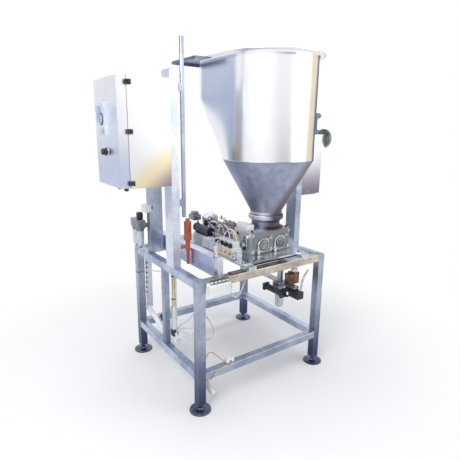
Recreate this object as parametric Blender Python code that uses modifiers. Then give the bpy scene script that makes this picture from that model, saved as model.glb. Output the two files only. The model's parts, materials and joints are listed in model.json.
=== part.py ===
"""Piston liquid filler: a stainless frame that carries a hopper, a twin piston pump and its air drive.

Metres, +Z up, +X to the operator's right, +Y to the back. The origin is the middle of the front left foot's
underside. Run it with blender --background --python part.py, or from Blender's text editor.
"""

import math

import bmesh
import bpy
from mathutils import Matrix, Vector

GAP = 0.0003  # between pieces that touch
RUNNING = 0.0005  # between pieces that move

# Frame
LEG_PITCH_X, LEG_PITCH_Y = 0.956, 0.841
TUBE, TUBE_WALL, TUBE_CORNER = 0.050, 0.003, 0.005
TABLE_HEIGHT, LOWER_RAIL_TOP = 0.823, 0.248
LEG_BOTTOM, LEG_PLUG = 0.045, 0.020
FOOT_RADIUS, FOOT_THICK, FOOT_STEM_RADIUS, FOOT_STEM_TOP = 0.065, 0.012, 0.009, 0.110
UPRIGHT_Y, UPRIGHT_WIDTH = 0.430, 0.040

# Posts on the side rails, the mast and the side beam: heights are above the table
POST_DEPTH = 0.095
CABINET_POST_Y, CABINET_POST_HEIGHT = 0.258, 1.127
BOX_POST_Y, BOX_POST_CLEARANCE = 0.225, 0.0066  # the post stops where the cone comes this near
REAR_POST_X, REAR_POST_WIDTH, REAR_POST_INSET, REAR_POST_HEIGHT = 0.042, 0.090, 0.216, 0.677
MAST_SIZE, MAST_OFFSET, MAST_LOW, MAST_LENGTH = 0.020, 0.021, 0.307, 0.996
MAST_BLOCK, MAST_BLOCK_INSETS = (0.024, 0.040), (0.090, 0.730)
SLEEVE_RADIUS, SLEEVE_LENGTH, SLEEVE_TOP, SLEEVE_OFFSET = 0.0225, 0.130, 0.295, 0.055
SLEEVE_STEM, SLEEVE_PIPE, SLEEVE_STEM_LENGTH = 0.014, 0.009, 0.070
BEAM_OFFSET, BEAM_WIDTH, BEAM_HEIGHT = 0.102, 0.060, 0.112

# Hopper
HOPPER_RADIUS, HOPPER_BACK, HOPPER_CORNER, HOPPER_WALL = 0.295, 0.440, 0.100, 0.003
HOPPER_SIDE_GAP = 0.018  # between the hopper and the frame's right side
NECK_RADIUS, NECK_HEIGHT, NECK_STEP, NECK_FLANGE = 0.105, 0.1167, 0.010, 0.012
CONE_HEIGHT, SLOPE_HEIGHT, WALL_HEIGHT = 0.337, 0.381, 0.244
RIM_WIDTH, RIM_THICK = 0.038, 0.006
CLAMP_WIDTH, CLAMP_HEIGHT, CLAMP_DROP = 0.012, 0.028, 0.024
TRAY_SIDE, TRAY_FRONT, TRAY_BACK = 0.120, 0.222, 0.048
TRAY_THICK, TRAY_LIP = 0.003, 0.018

# Pump: two bores front to back in one block, each with a piston and an air cylinder behind it
BLOCK_OFFSET = 0.028  # from the hopper's middle to the block's
BLOCK_FRONT_Y, BLOCK_DEPTH = 0.145, 0.190
BLOCK_SIDE, BLOCK_CROWN = 0.058, 0.0337
BORE_RADIUS, BORE_WEB, BORE_LIFT, STROKE = 0.036, 0.070, 0.0577, 0.150
CYLINDER_WALL, CYLINDER_SPARE = 0.007, 0.070
COVER_LIP, COVER_THICK, COVER_SPIGOT = 0.010, 0.012, 0.014
COVER_BOLT_RADIUS, COVER_BOLT_HEAD = 0.009, 0.020
PISTON_LENGTH, PISTON_REST = 0.034, 0.056
ROD_RADIUS, AIR_ROD_RADIUS = 0.009, 0.008
COUPLING_RADIUS, COUPLING_LENGTH, COUPLING_START = 0.015, 0.036, 0.030
AIR_RADIUS, AIR_WALL, AIR_CAP, AIR_CAP_THICK = 0.032, 0.004, 0.072, 0.026
AIR_PISTON_LENGTH, AIR_SPARE, AIR_SPACE = 0.016, 0.049, 0.034
PLATE_LEFT, PLATE_RIGHT, PLATE_FRONT_Y, PLATE_BACK, PLATE_THICK = 0.325, 0.205, 0.030, 0.015, 0.012
PAD_HEIGHT, PAD_WIDTH, PAD_INSET = 0.014, 0.060, 0.045

# Valve rotor across the block, its crank and its air actuator
ROTOR_RADIUS, ROTOR_INSET, ROTOR_WEB, PORT_RADIUS = 0.019, 0.037, 0.004, 0.009
CRANK_LENGTH, CRANK_THICK, CRANK_WIDTH, CRANK_GAP = 0.042, 0.010, 0.030, 0.017
PIN_RADIUS, PIN_CLEARANCE, SLOT_INWARD, SLOT_OUTWARD, SLOT_WALL = 0.0055, 0.0018, 0.007, 0.0135, 0.006
CLEVIS, PLUNGER_RADIUS, PLUNGER_PISTON = 0.010, 0.007, 0.012
ACTUATOR_START, ACTUATOR_LENGTH, ACTUATOR_RADIUS, ACTUATOR_WALL = 0.560, 0.200, 0.030, 0.004
ACTUATOR_OFFSET, ACTUATOR_BAND, STAND_WIDTH = 0.016, 0.003, 0.060
BANK_OFFSET, BANK_WIDTH, BANK_LENGTH, BANK_HEIGHT = 0.075, 0.070, 0.190, 0.070
COIL_COUNT, COIL_PITCH, COIL_WIDTH, COIL_HEIGHT = 4, 0.048, 0.030, 0.035

# Outlet and filling nozzle, with depths below the table
OUTLET_OFFSET, OUTLET_RADIUS, OUTLET_BORE = 0.132, 0.021, 0.014
NOZZLE_DROP, NOZZLE_LENGTH, NOZZLE_BODY = 0.223, 0.075, 0.076
BAR_WIDTH, BAR_LENGTH, BAR_THICK = 0.050, 0.330, 0.012
CUP_RADIUS, CUP_LENGTH = 0.030, 0.112
PLUG_RADIUS, PLUG_LIFT, PLUG_FLANGE, PLUG_END = 0.012, 0.030, 0.020, 0.012
LEVER_REACH, LEVER_SIDE, LEVER_RISE, LEVER_RADIUS = 0.182, 0.085, 0.170, 0.007

# Control cabinet on the left, its height above the table
CABINET_DEPTH, CABINET_WIDTH, CABINET_HEIGHT, CABINET_LIFT = 0.243, 0.360, 0.580, 0.499
CABINET_WALL, DOOR_THICK, DOOR_WALL, DOOR_MARGIN, DOOR_GAP = 0.003, 0.052, 0.003, 0.004, 0.0012
HINGE_RADIUS, HINGE_SPAN, LEAF = 0.006, 0.420, 0.016
LUG_WIDTH, LUG_THICK, LUG_HEIGHT, LUG_INSET = 0.034, 0.012, 0.026, 0.012
CLAMP_LIFTS = (("lower", 0.030), ("middle", 0.300), ("upper", 0.546))
PANEL_MARGIN, PANEL_THICK = 0.030, 0.020
SWITCH_Y, SWITCH_LIFT, SWITCH_WIDTH, SWITCH_HEIGHT, SWITCH_DEPTH = 0.182, 0.363, 0.090, 0.170, 0.024
SELECTOR_Y, SELECTOR_LIFT, SELECTOR_RADIUS = 0.192, 0.190, 0.018

# Air box on the right with its handwheel, and the air service unit behind
BOX_DEPTH, BOX_DOOR, BOX_WIDTH, BOX_HEIGHT, BOX_LIFT = 0.145, 0.038, 0.280, 0.312, 0.369
BOX_HINGE_SPAN = 0.220
WHEEL_RADIUS, WHEEL_WIDTH, WHEEL_RIM, WHEEL_Y, WHEEL_LIFT = 0.070, 0.028, 0.010, 0.050, 0.078
HOUSING, HOUSING_BACK, HOUSING_OUT = 0.060, 0.060, 0.085
FILTER_X, FILTER_LIFT, FILTER_BACK = -0.030, 0.155, 0.105
BOWL_RADIUS, BOWL_LENGTH = 0.024, 0.140
MANIFOLD_LOW_X, MANIFOLD_LENGTH, MANIFOLD_DEPTH = 0.022, 0.138, 0.060
MANIFOLD_HEIGHT, MANIFOLD_DROP = 0.070, 0.008
PLUG_COUNT, PLUG_PITCH, PLUG_HEAD = 5, 0.025, 0.022

# Places that follow from the sizes above
HOPPER_X = LEG_PITCH_X + TUBE / 2 - HOPPER_SIDE_GAP - HOPPER_RADIUS
HOPPER_Y = BLOCK_FRONT_Y + BLOCK_DEPTH / 2
BLOCK_X = HOPPER_X - BLOCK_OFFSET
PLATE_TOP = TABLE_HEIGHT + PAD_HEIGHT + PLATE_THICK
BLOCK_LOW = PLATE_TOP + GAP
BORE_Z = BLOCK_LOW + BORE_LIFT
BORE_PITCH = 2 * BORE_RADIUS + BORE_WEB
BLOCK_WIDTH = BORE_PITCH + 2 * BORE_RADIUS + 2 * BLOCK_SIDE
ROTOR_Z = BORE_Z + BORE_RADIUS + ROTOR_WEB + ROTOR_RADIUS
BLOCK_TOP = ROTOR_Z + BLOCK_CROWN
BLOCK_BACK_Y = BLOCK_FRONT_Y + BLOCK_DEPTH
BORES = (("left", BLOCK_X - BORE_PITCH / 2), ("right", BLOCK_X + BORE_PITCH / 2))
COVER_RADIUS = BORE_RADIUS + COVER_LIP
COVER_BOLT_OFFSET = COVER_RADIUS + 0.001
CYLINDER_LENGTH = PISTON_REST + PISTON_LENGTH + STROKE + CYLINDER_SPARE - BLOCK_DEPTH
COUPLING_Y = BLOCK_BACK_Y + COUPLING_START
AIR_START = COUPLING_Y + COUPLING_LENGTH + STROKE + AIR_SPACE
AIR_LENGTH = AIR_PISTON_LENGTH + STROKE + AIR_SPARE
AIR_END = AIR_START + AIR_LENGTH + 2 * AIR_CAP_THICK
VALVE_Y = BLOCK_FRONT_Y + ROTOR_INSET
CRANK_X = BLOCK_X - BLOCK_WIDTH / 2 - CRANK_GAP - CRANK_THICK / 2
ACTUATOR_X = CRANK_X - CRANK_THICK / 2 - ACTUATOR_OFFSET
ACTUATOR_Z = ROTOR_Z - CRANK_LENGTH
OUTLET_X, OUTLET_Y = BLOCK_X + OUTLET_OFFSET, VALVE_Y
NOZZLE_TOP = TABLE_HEIGHT - NOZZLE_DROP
NOZZLE_LOW = NOZZLE_TOP - NOZZLE_LENGTH
PLUG_Z = NOZZLE_LOW + PLUG_LIFT
NECK_TOP_Z = BLOCK_TOP + NECK_HEIGHT
HOPPER_SEAM_Z = NECK_TOP_Z + CONE_HEIGHT
BOX_POST_INNER_X = LEG_PITCH_X - TUBE / 2
BOX_POST_REACH = BOX_POST_INNER_X - BOX_POST_CLEARANCE - HOPPER_X  # cone radius at the post's top
BOX_POST_RISE = (BOX_POST_REACH - NECK_RADIUS) / (HOPPER_RADIUS - NECK_RADIUS) * CONE_HEIGHT
BOX_POST_HEIGHT = NECK_TOP_Z + BOX_POST_RISE - TABLE_HEIGHT
HOPPER_SLOPE_Z = HOPPER_SEAM_Z + SLOPE_HEIGHT
HOPPER_RIM_Z = HOPPER_SLOPE_Z + WALL_HEIGHT
BEAM_X = TUBE / 2 + BEAM_OFFSET
REAR_POST_Y = LEG_PITCH_Y - REAR_POST_INSET
CABINET_BACK_X = -TUBE / 2 - GAP
CABINET_FRONT_X = CABINET_BACK_X - CABINET_DEPTH
CABINET_LOW_Y = CABINET_POST_Y
CABINET_HIGH_Y = CABINET_LOW_Y + CABINET_WIDTH
CABINET_LOW_Z = TABLE_HEIGHT + CABINET_LIFT
CABINET_TOP = CABINET_LOW_Z + CABINET_HEIGHT
DOOR_BACK_X = CABINET_FRONT_X - DOOR_GAP
DOOR_FRONT_X = DOOR_BACK_X - DOOR_THICK
BOX_BACK_X = LEG_PITCH_X + TUBE / 2 + GAP
BOX_FRONT_X = BOX_BACK_X + BOX_DEPTH
BOX_LOW_Y = BOX_POST_Y
BOX_HIGH_Y = BOX_LOW_Y + BOX_WIDTH
BOX_LOW_Z = TABLE_HEIGHT + BOX_LIFT
BOX_TOP = BOX_LOW_Z + BOX_HEIGHT
HINGE_OUT = HINGE_RADIUS + 0.002  # from a door's edge to its hinge axis

STEEL = ((0.62, 0.64, 0.67), 0.32, 1.0)
DULL_STEEL = ((0.45, 0.47, 0.50), 0.45, 1.0)
NAVY = ((0.03, 0.04, 0.10), 0.35, 0.2)
BLACK = ((0.02, 0.02, 0.022), 0.45, 0.0)
WHITE = ((0.80, 0.80, 0.78), 0.40, 0.0)
RED_BROWN = ((0.30, 0.07, 0.05), 0.45, 0.0)


def clear_scene():
    for obj in list(bpy.data.objects):
        bpy.data.objects.remove(obj, do_unlink=True)


def new_collection(name):
    made = bpy.data.collections.new(name)
    bpy.context.scene.collection.children.link(made)
    return made


clear_scene()
PARTS = new_collection("piston_filler")
CUTTERS = new_collection("cutters")
CUTTERS.hide_render = True


def dress(obj, finish):
    """Gives the piece its own material."""
    colour, roughness, metallic = finish
    material = bpy.data.materials.new(obj.name)
    material.use_nodes = True
    shader = material.node_tree.nodes["Principled BSDF"]
    shader.inputs["Base Color"].default_value = (*colour, 1.0)
    shader.inputs["Roughness"].default_value = roughness
    shader.inputs["Metallic"].default_value = metallic
    obj.data.materials.append(material)


def add(name, data, finish, at=(0, 0, 0), turn=None):
    """Links a new piece, or a cutter where finish is None."""
    obj = bpy.data.objects.new(name, data)
    obj.location = at
    if turn is not None:
        obj.rotation_euler = turn.to_euler()
    if finish is None:
        CUTTERS.objects.link(obj)
        obj.hide_render = True
        obj.display_type = "WIRE"
    else:
        PARTS.objects.link(obj)
        dress(obj, finish)
    return obj


def along(axis):
    """The turn that brings a piece's own +Z onto the axis."""
    return Vector((0, 0, 1)).rotation_difference(Vector(axis)).to_matrix()


def box(name, low, high, finish, bevel=0.0, segments=1):
    """A block between two corners, its origin at its middle."""
    low, high = Vector(low), Vector(high)
    mesh = bpy.data.meshes.new(name)
    shape = bmesh.new()
    bmesh.ops.create_cube(shape, size=1.0, matrix=Matrix.Diagonal((*(high - low), 1.0)))
    shape.to_mesh(mesh)
    shape.free()
    obj = add(name, mesh, finish, (low + high) / 2)
    if bevel:
        rounding = obj.modifiers.new("rounding", "BEVEL")
        rounding.width = bevel
        rounding.segments = segments
    return obj


def rod(name, start, end, radius, finish, sides=16):
    """A round bar between two points."""
    start, end = Vector(start), Vector(end)
    mesh = bpy.data.meshes.new(name)
    shape = bmesh.new()
    bmesh.ops.create_cone(
        shape, cap_ends=True, segments=sides, radius1=radius, radius2=radius, depth=(end - start).length
    )
    shape.to_mesh(mesh)
    shape.free()
    mesh.shade_smooth()
    mesh.set_sharp_from_angle(angle=math.radians(40))
    return add(name, mesh, finish, (start + end) / 2, along(end - start))


def turned(name, profile, at, axis, finish, steps=20):
    """A turned piece: the profile is (radius, height along the axis) from the top to the bottom."""
    mesh = bpy.data.meshes.new(name)
    points = [(radius, 0.0, height) for radius, height in profile]
    mesh.from_pydata(points, [(i, i + 1) for i in range(len(points) - 1)], [])
    obj = add(name, mesh, finish, at, along(axis))
    screw = obj.modifiers.new("turn", "SCREW")
    screw.axis = "Z"
    screw.steps = screw.render_steps = steps
    screw.use_merge_vertices = True
    screw.merge_threshold = 0.00001
    screw.use_smooth_shade = True
    return obj


def change(obj, other, operation):
    cut = obj.modifiers.new(operation.lower(), "BOOLEAN")
    cut.operation = operation
    cut.object = other
    cut.solver = "EXACT"
    return obj


def cut(obj, *cutters):
    for cutter in cutters:
        change(obj, cutter, "DIFFERENCE")
    return obj


def join(obj, *others):
    for other in others:
        change(obj, other, "UNION")
    return obj


def rounded_rectangle(width, height, radius):
    """Corner points of a rectangle about the origin, each corner an arc."""
    points = []
    for quarter, (sx, sy) in enumerate(((1, 1), (-1, 1), (-1, -1), (1, -1))):
        centre = Vector((sx * (width / 2 - radius), sy * (height / 2 - radius)))
        for step in range(4):
            angle = math.radians(90 * quarter + 30 * step)
            points.append((centre.x + radius * math.cos(angle), centre.y + radius * math.sin(angle), 0.0))
    return points


def tube(name, start, end, width, height, finish, wall=TUBE_WALL, corner=TUBE_CORNER):
    """An open-ended rectangular tube: width lies along X, or along Y where the tube runs along X."""
    start, end = Vector(start), Vector(end)
    curve = bpy.data.curves.new(name, "CURVE")
    curve.dimensions = "2D"
    curve.fill_mode = "BOTH"
    curve.extrude = (end - start).length / 2
    for inset in (0.0, wall):
        points = rounded_rectangle(width - 2 * inset, height - 2 * inset, corner - inset)
        spline = curve.splines.new("POLY")
        spline.points.add(len(points) - 1)
        for point, place in zip(spline.points, points):
            point.co = (*place, 1.0)
        spline.use_cyclic_u = True
    turn = {
        "x": Matrix(((0, 0, 1), (1, 0, 0), (0, 1, 0))),
        "y": Matrix(((1, 0, 0), (0, 0, -1), (0, 1, 0))),
        "z": Matrix.Identity(3),
    }["xyz"[max(range(3), key=lambda i: abs((end - start)[i]))]]
    return add(name, curve, finish, (start + end) / 2, turn)


def pivot_at(obj, point):
    """Moves the piece's origin onto its hinge, with its shape left in place."""
    obj.data.transform(Matrix.Translation(obj.location - Vector(point)))
    obj.location = point
    return obj


def corner_signs():
    return (("front", "left", 0, 0), ("front", "right", 1, 0), ("rear", "left", 0, 1), ("rear", "right", 1, 1))


def build_legs():
    half = TUBE / 2
    inner = half - TUBE_WALL
    for front, side, right, back in corner_signs():
        x, y = right * LEG_PITCH_X, back * LEG_PITCH_Y
        name = f"{front}_{side}"
        leg = box(f"leg_{name}", (x - half, y - half, LEG_BOTTOM), (x + half, y + half, TABLE_HEIGHT), STEEL)
        hollow = box(
            f"cut_leg_{name}",
            (x - inner, y - inner, LEG_BOTTOM + LEG_PLUG),
            (x + inner, y + inner, TABLE_HEIGHT - TUBE_WALL),
            None,
        )
        stem_hole = rod(
            f"cut_plug_{name}",
            (x, y, LEG_BOTTOM - 0.01),
            (x, y, LEG_BOTTOM + LEG_PLUG + 0.01),
            FOOT_STEM_RADIUS + GAP,
            None,
        )
        cut(leg, hollow, stem_hole)
        nut = FOOT_STEM_RADIUS + 0.007
        turned(
            f"foot_{name}",
            (
                (0, FOOT_STEM_TOP),
                (FOOT_STEM_RADIUS, FOOT_STEM_TOP),
                (FOOT_STEM_RADIUS, LEG_BOTTOM - GAP),
                (nut, LEG_BOTTOM - GAP),
                (nut, LEG_BOTTOM - 0.012),
                (nut + 0.006, FOOT_THICK + 0.014),
                (FOOT_RADIUS - 0.006, FOOT_THICK),
                (FOOT_RADIUS, FOOT_THICK - 0.004),
                (FOOT_RADIUS, 0),
                (0, 0),
            ),
            (x, y, 0),
            (0, 0, 1),
            DULL_STEEL,
        )


def build_rails():
    """Top and lower rails, butted between the legs."""
    near = TUBE / 2 + GAP
    for level, top in (("top", TABLE_HEIGHT), ("lower", LOWER_RAIL_TOP)):
        z = top - TUBE / 2
        for side, y in (("front", 0.0), ("rear", LEG_PITCH_Y)):
            tube(f"{level}_rail_{side}", (near, y, z), (LEG_PITCH_X - near, y, z), TUBE, TUBE, STEEL)
        for side, x in (("left", 0.0), ("right", LEG_PITCH_X)):
            tube(f"{level}_rail_{side}", (x, near, z), (x, LEG_PITCH_Y - near, z), TUBE, TUBE, STEEL)
    low, high = LOWER_RAIL_TOP + GAP, TABLE_HEIGHT - TUBE - GAP
    tube("mid_upright", (0, UPRIGHT_Y, low), (0, UPRIGHT_Y, high), UPRIGHT_WIDTH, UPRIGHT_WIDTH, STEEL)


def post(name, x, y, top, width, depth):
    """A capped tube that stands on a side rail, its foot open onto the rail."""
    low = TABLE_HEIGHT + GAP
    body = box(name, (x - width / 2, y, low), (x + width / 2, y + depth, top), STEEL)
    hollow = box(
        f"cut_{name}",
        (x - width / 2 + TUBE_WALL, y + TUBE_WALL, low - 0.01),
        (x + width / 2 - TUBE_WALL, y + depth - TUBE_WALL, top - TUBE_WALL),
        None,
    )
    return cut(body, hollow)


def build_posts():
    table = TABLE_HEIGHT
    post("cabinet_post", 0, CABINET_POST_Y, table + CABINET_POST_HEIGHT, TUBE, POST_DEPTH)
    post("box_post", LEG_PITCH_X, BOX_POST_Y, table + BOX_POST_HEIGHT, TUBE, POST_DEPTH)
    post("rear_post", REAR_POST_X, REAR_POST_Y, table + REAR_POST_HEIGHT, REAR_POST_WIDTH, TUBE)
    beam_z = table + BEAM_HEIGHT / 2 + GAP
    tube(
        "side_beam",
        (BEAM_X, 0.0, beam_z),
        (BEAM_X, LEG_PITCH_Y + TUBE / 2, beam_z),
        BEAM_WIDTH,
        BEAM_HEIGHT,
        STEEL,
    )


def build_mast():
    """The square mast on the cabinet post and the drip sleeve under it."""
    side = TUBE / 2 + GAP
    low_x = TUBE / 2 + MAST_OFFSET
    y = CABINET_POST_Y + MAST_SIZE / 2
    bottom = TABLE_HEIGHT + MAST_LOW
    mast = box(
        "mast",
        (low_x, y - MAST_SIZE / 2, bottom),
        (low_x + MAST_SIZE, y + MAST_SIZE / 2, bottom + MAST_LENGTH),
        STEEL,
        bevel=0.003,
    )
    width, height = MAST_BLOCK
    for index, inset in enumerate(MAST_BLOCK_INSETS):
        z = bottom + inset
        block = box(
            f"join_mast_{index}",
            (side, y - width / 2, z - height / 2),
            (low_x + MAST_SIZE / 2, y + width / 2, z + height / 2),
            None,
        )
        join(mast, block)
    x = TUBE / 2 + SLEEVE_OFFSET
    top = TABLE_HEIGHT + SLEEVE_TOP
    low = top - SLEEVE_LENGTH
    stem_low = low - SLEEVE_STEM_LENGTH
    pipe_low = TABLE_HEIGHT + 0.012
    sleeve = turned(
        "drip_sleeve",
        (
            (0, top),
            (0.012, top),
            (0.012, top - 0.012),
            (SLEEVE_RADIUS, top - 0.018),
            (SLEEVE_RADIUS, low),
            (SLEEVE_STEM, low - 0.008),
            (SLEEVE_STEM, stem_low),
            (SLEEVE_PIPE, stem_low - 0.004),
            (SLEEVE_PIPE, pipe_low),
            (0, pipe_low),
        ),
        (x, y, 0),
        (0, 0, 1),
        RED_BROWN,
    )
    clip = box(
        "join_sleeve_clip",
        (side, y - 0.008, low - 0.050),
        (x, y + 0.008, low - 0.030),
        None,
    )
    join(sleeve, clip)


def build_base_plate():
    """The plate on its four pads, with the saddle of the air cylinders and the stand of the actuator."""
    low_x, high_x = BLOCK_X - PLATE_LEFT, BLOCK_X + PLATE_RIGHT
    back_y = LEG_PITCH_Y + PLATE_BACK
    plate = box(
        "base_plate",
        (low_x, PLATE_FRONT_Y, PLATE_TOP - PLATE_THICK),
        (high_x, back_y, PLATE_TOP),
        STEEL,
    )
    into_plate = PLATE_TOP - PLATE_THICK / 2
    spans = (("front", -TUBE / 2 + 0.007, PLATE_FRONT_Y + 0.030), ("rear", back_y - 0.035, back_y))
    for place, low, high in spans:
        for side, x in (("left", low_x + PAD_INSET), ("right", high_x - PAD_INSET)):
            pad = box(
                f"join_pad_{place}_{side}",
                (x - PAD_WIDTH / 2, low, TABLE_HEIGHT + GAP),
                (x + PAD_WIDTH / 2, high, into_plate),
                None,
            )
            join(plate, pad)
    saddle = box(
        "join_saddle",
        (BORES[0][1] - AIR_CAP / 2, AIR_START, into_plate),
        (BORES[1][1] + AIR_CAP / 2, AIR_END, BORE_Z - AIR_CAP / 2 - GAP),
        None,
    )
    actuator_low = ACTUATOR_Z - ACTUATOR_RADIUS - ACTUATOR_BAND
    stand = box(
        "join_stand",
        (ACTUATOR_X - STAND_WIDTH / 2, ACTUATOR_START + 0.004, into_plate),
        (ACTUATOR_X + STAND_WIDTH / 2, ACTUATOR_START + ACTUATOR_LENGTH - 0.004, actuator_low - GAP),
        None,
    )
    join(plate, saddle, stand)
    drain = rod(
        "cut_outlet_hole",
        (OUTLET_X, VALVE_Y, TABLE_HEIGHT - 0.01),
        (OUTLET_X, VALVE_Y, PLATE_TOP + 0.01),
        OUTLET_RADIUS + 0.002,
        None,
    )
    cut(plate, drain)


def build_block():
    """The pump block: two bores front to back, a rotor bore across, a hopper inlet and a central outlet."""
    block = box(
        "pump_block",
        (BLOCK_X - BLOCK_WIDTH / 2, BLOCK_FRONT_Y, BLOCK_LOW),
        (BLOCK_X + BLOCK_WIDTH / 2, BLOCK_BACK_Y, BLOCK_TOP),
        DULL_STEEL,
        bevel=0.003,
    )
    cutters = [
        rod(
            "cut_rotor_bore",
            (BLOCK_X - BLOCK_WIDTH / 2 - 0.01, VALVE_Y, ROTOR_Z),
            (BLOCK_X + BLOCK_WIDTH / 2 - 0.03, VALVE_Y, ROTOR_Z),
            ROTOR_RADIUS + RUNNING,
            None,
        ),
        rod(
            "cut_inlet",
            (HOPPER_X, HOPPER_Y, ROTOR_Z + 0.010),
            (HOPPER_X, HOPPER_Y, BLOCK_TOP + 0.01),
            NECK_RADIUS - 0.030,
            None,
            sides=28,
        ),
        rod(
            "cut_outlet",
            (OUTLET_X, VALVE_Y, BLOCK_LOW - 0.01),
            (OUTLET_X, VALVE_Y, ROTOR_Z),
            OUTLET_BORE,
            None,
        ),
    ]
    for side, x in BORES:
        cutters.append(
            rod(
                f"cut_bore_{side}",
                (x, BLOCK_FRONT_Y - 0.01, BORE_Z),
                (x, BLOCK_BACK_Y + 0.01, BORE_Z),
                BORE_RADIUS,
                None,
                sides=28,
            )
        )
        cutters.append(
            rod(f"cut_port_{side}", (x, VALVE_Y, BORE_Z), (x, VALVE_Y, ROTOR_Z), PORT_RADIUS, None, sides=16)
        )
    cut(block, *cutters)


def build_cover(side, x):
    """A bore cover: a round cap with a spigot in the bore and two bolt lugs on a diagonal."""
    front = BLOCK_FRONT_Y - GAP
    cover = turned(
        f"bore_cover_{side}",
        (
            (0, COVER_THICK),
            (0.020, COVER_THICK),
            (0.024, COVER_THICK - 0.004),
            (0.034, COVER_THICK - 0.004),
            (0.037, COVER_THICK),
            (COVER_RADIUS - 0.003, COVER_THICK),
            (COVER_RADIUS, COVER_THICK - 0.003),
            (COVER_RADIUS, 0),
            (BORE_RADIUS - GAP, 0),
            (BORE_RADIUS - GAP, -COVER_SPIGOT),
            (0, -COVER_SPIGOT),
        ),
        (x, front, BORE_Z),
        (0, -1, 0),
        DULL_STEEL,
        steps=28,
    )
    for index, sign in enumerate((-1, 1)):
        bolt_x, bolt_z = x + sign * COVER_BOLT_OFFSET, BORE_Z + sign * COVER_BOLT_OFFSET
        bolt = rod(
            f"join_bolt_{side}_{index}",
            (bolt_x, front, bolt_z),
            (bolt_x, front - COVER_BOLT_HEAD, bolt_z),
            COVER_BOLT_RADIUS,
            None,
        )
        web_x, web_z = x + 0.7 * sign * COVER_BOLT_OFFSET, BORE_Z + 0.7 * sign * COVER_BOLT_OFFSET
        half = 0.35 * COVER_BOLT_OFFSET - 0.001
        web = box(
            f"join_web_{side}_{index}",
            (web_x - half, front - 0.006, web_z - half),
            (web_x + half, front, web_z + half),
            None,
        )
        join(cover, web, bolt)


def build_drive(side, x):
    """One product cylinder with its piston and rod, and the air cylinder that drives it."""
    back = BLOCK_BACK_Y + GAP
    outer = BORE_RADIUS + CYLINDER_WALL
    turned(
        f"product_cylinder_{side}",
        (
            (BORE_RADIUS, 0),
            (BORE_RADIUS, CYLINDER_LENGTH),
            (outer, CYLINDER_LENGTH),
            (outer, 0.012),
            (outer + 0.010, 0.012),
            (outer + 0.010, 0),
            (BORE_RADIUS, 0),
        ),
        (x, back, BORE_Z),
        (0, 1, 0),
        STEEL,
        steps=28,
    )
    face = BLOCK_FRONT_Y + PISTON_REST
    seal, groove = BORE_RADIUS - RUNNING, BORE_RADIUS - 0.004
    turned(
        f"piston_{side}",
        (
            (0, PISTON_LENGTH),
            (seal, PISTON_LENGTH),
            (seal, 0.024),
            (groove, 0.023),
            (groove, 0.020),
            (seal, 0.019),
            (seal, 0.014),
            (groove, 0.013),
            (groove, 0.010),
            (seal, 0.009),
            (seal, 0),
            (0, 0),
        ),
        (x, face, BORE_Z),
        (0, 1, 0),
        WHITE,
        steps=28,
    )
    start = face + PISTON_LENGTH + GAP
    air_piston = AIR_START + AIR_CAP_THICK + 0.010
    bore = AIR_RADIUS - AIR_WALL
    turned(
        f"rod_{side}",
        (
            (0, air_piston + AIR_PISTON_LENGTH),
            (bore - RUNNING, air_piston + AIR_PISTON_LENGTH),
            (bore - RUNNING, air_piston),
            (AIR_ROD_RADIUS, air_piston),
            (AIR_ROD_RADIUS, COUPLING_Y + COUPLING_LENGTH),
            (COUPLING_RADIUS, COUPLING_Y + COUPLING_LENGTH),
            (COUPLING_RADIUS, COUPLING_Y),
            (ROD_RADIUS, COUPLING_Y),
            (ROD_RADIUS, start),
            (0, start),
        ),
        (x, 0, BORE_Z),
        (0, 1, 0),
        STEEL,
    )
    gland = AIR_ROD_RADIUS + RUNNING
    barrel = turned(
        f"air_cylinder_{side}",
        (
            (0, AIR_END - 0.004),
            (AIR_RADIUS, AIR_END - 0.004),
            (AIR_RADIUS, AIR_START + 0.004),
            (2 * gland, AIR_START + 0.004),
            (2 * gland, AIR_START - 0.006),
            (gland, AIR_START - 0.006),
            (gland, AIR_START + AIR_CAP_THICK),
            (bore, AIR_START + AIR_CAP_THICK),
            (bore, AIR_END - AIR_CAP_THICK),
            (0, AIR_END - AIR_CAP_THICK),
        ),
        (x, 0, BORE_Z),
        (0, 1, 0),
        STEEL,
        steps=24,
    )
    half = AIR_CAP / 2
    for place, y in (("front", AIR_START), ("rear", AIR_END - AIR_CAP_THICK)):
        cap = box(
            f"join_cap_{side}_{place}",
            (x - half, y, BORE_Z - half),
            (x + half, y + AIR_CAP_THICK, BORE_Z + half),
            None,
            bevel=0.004,
        )
        if place == "front":
            inner = AIR_RADIUS - 0.002
            hole = rod(f"cut_cap_{side}", (x, y - 0.01, BORE_Z), (x, y + 0.05, BORE_Z), inner, None)
            cut(cap, hole)
        join(barrel, cap)


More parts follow.
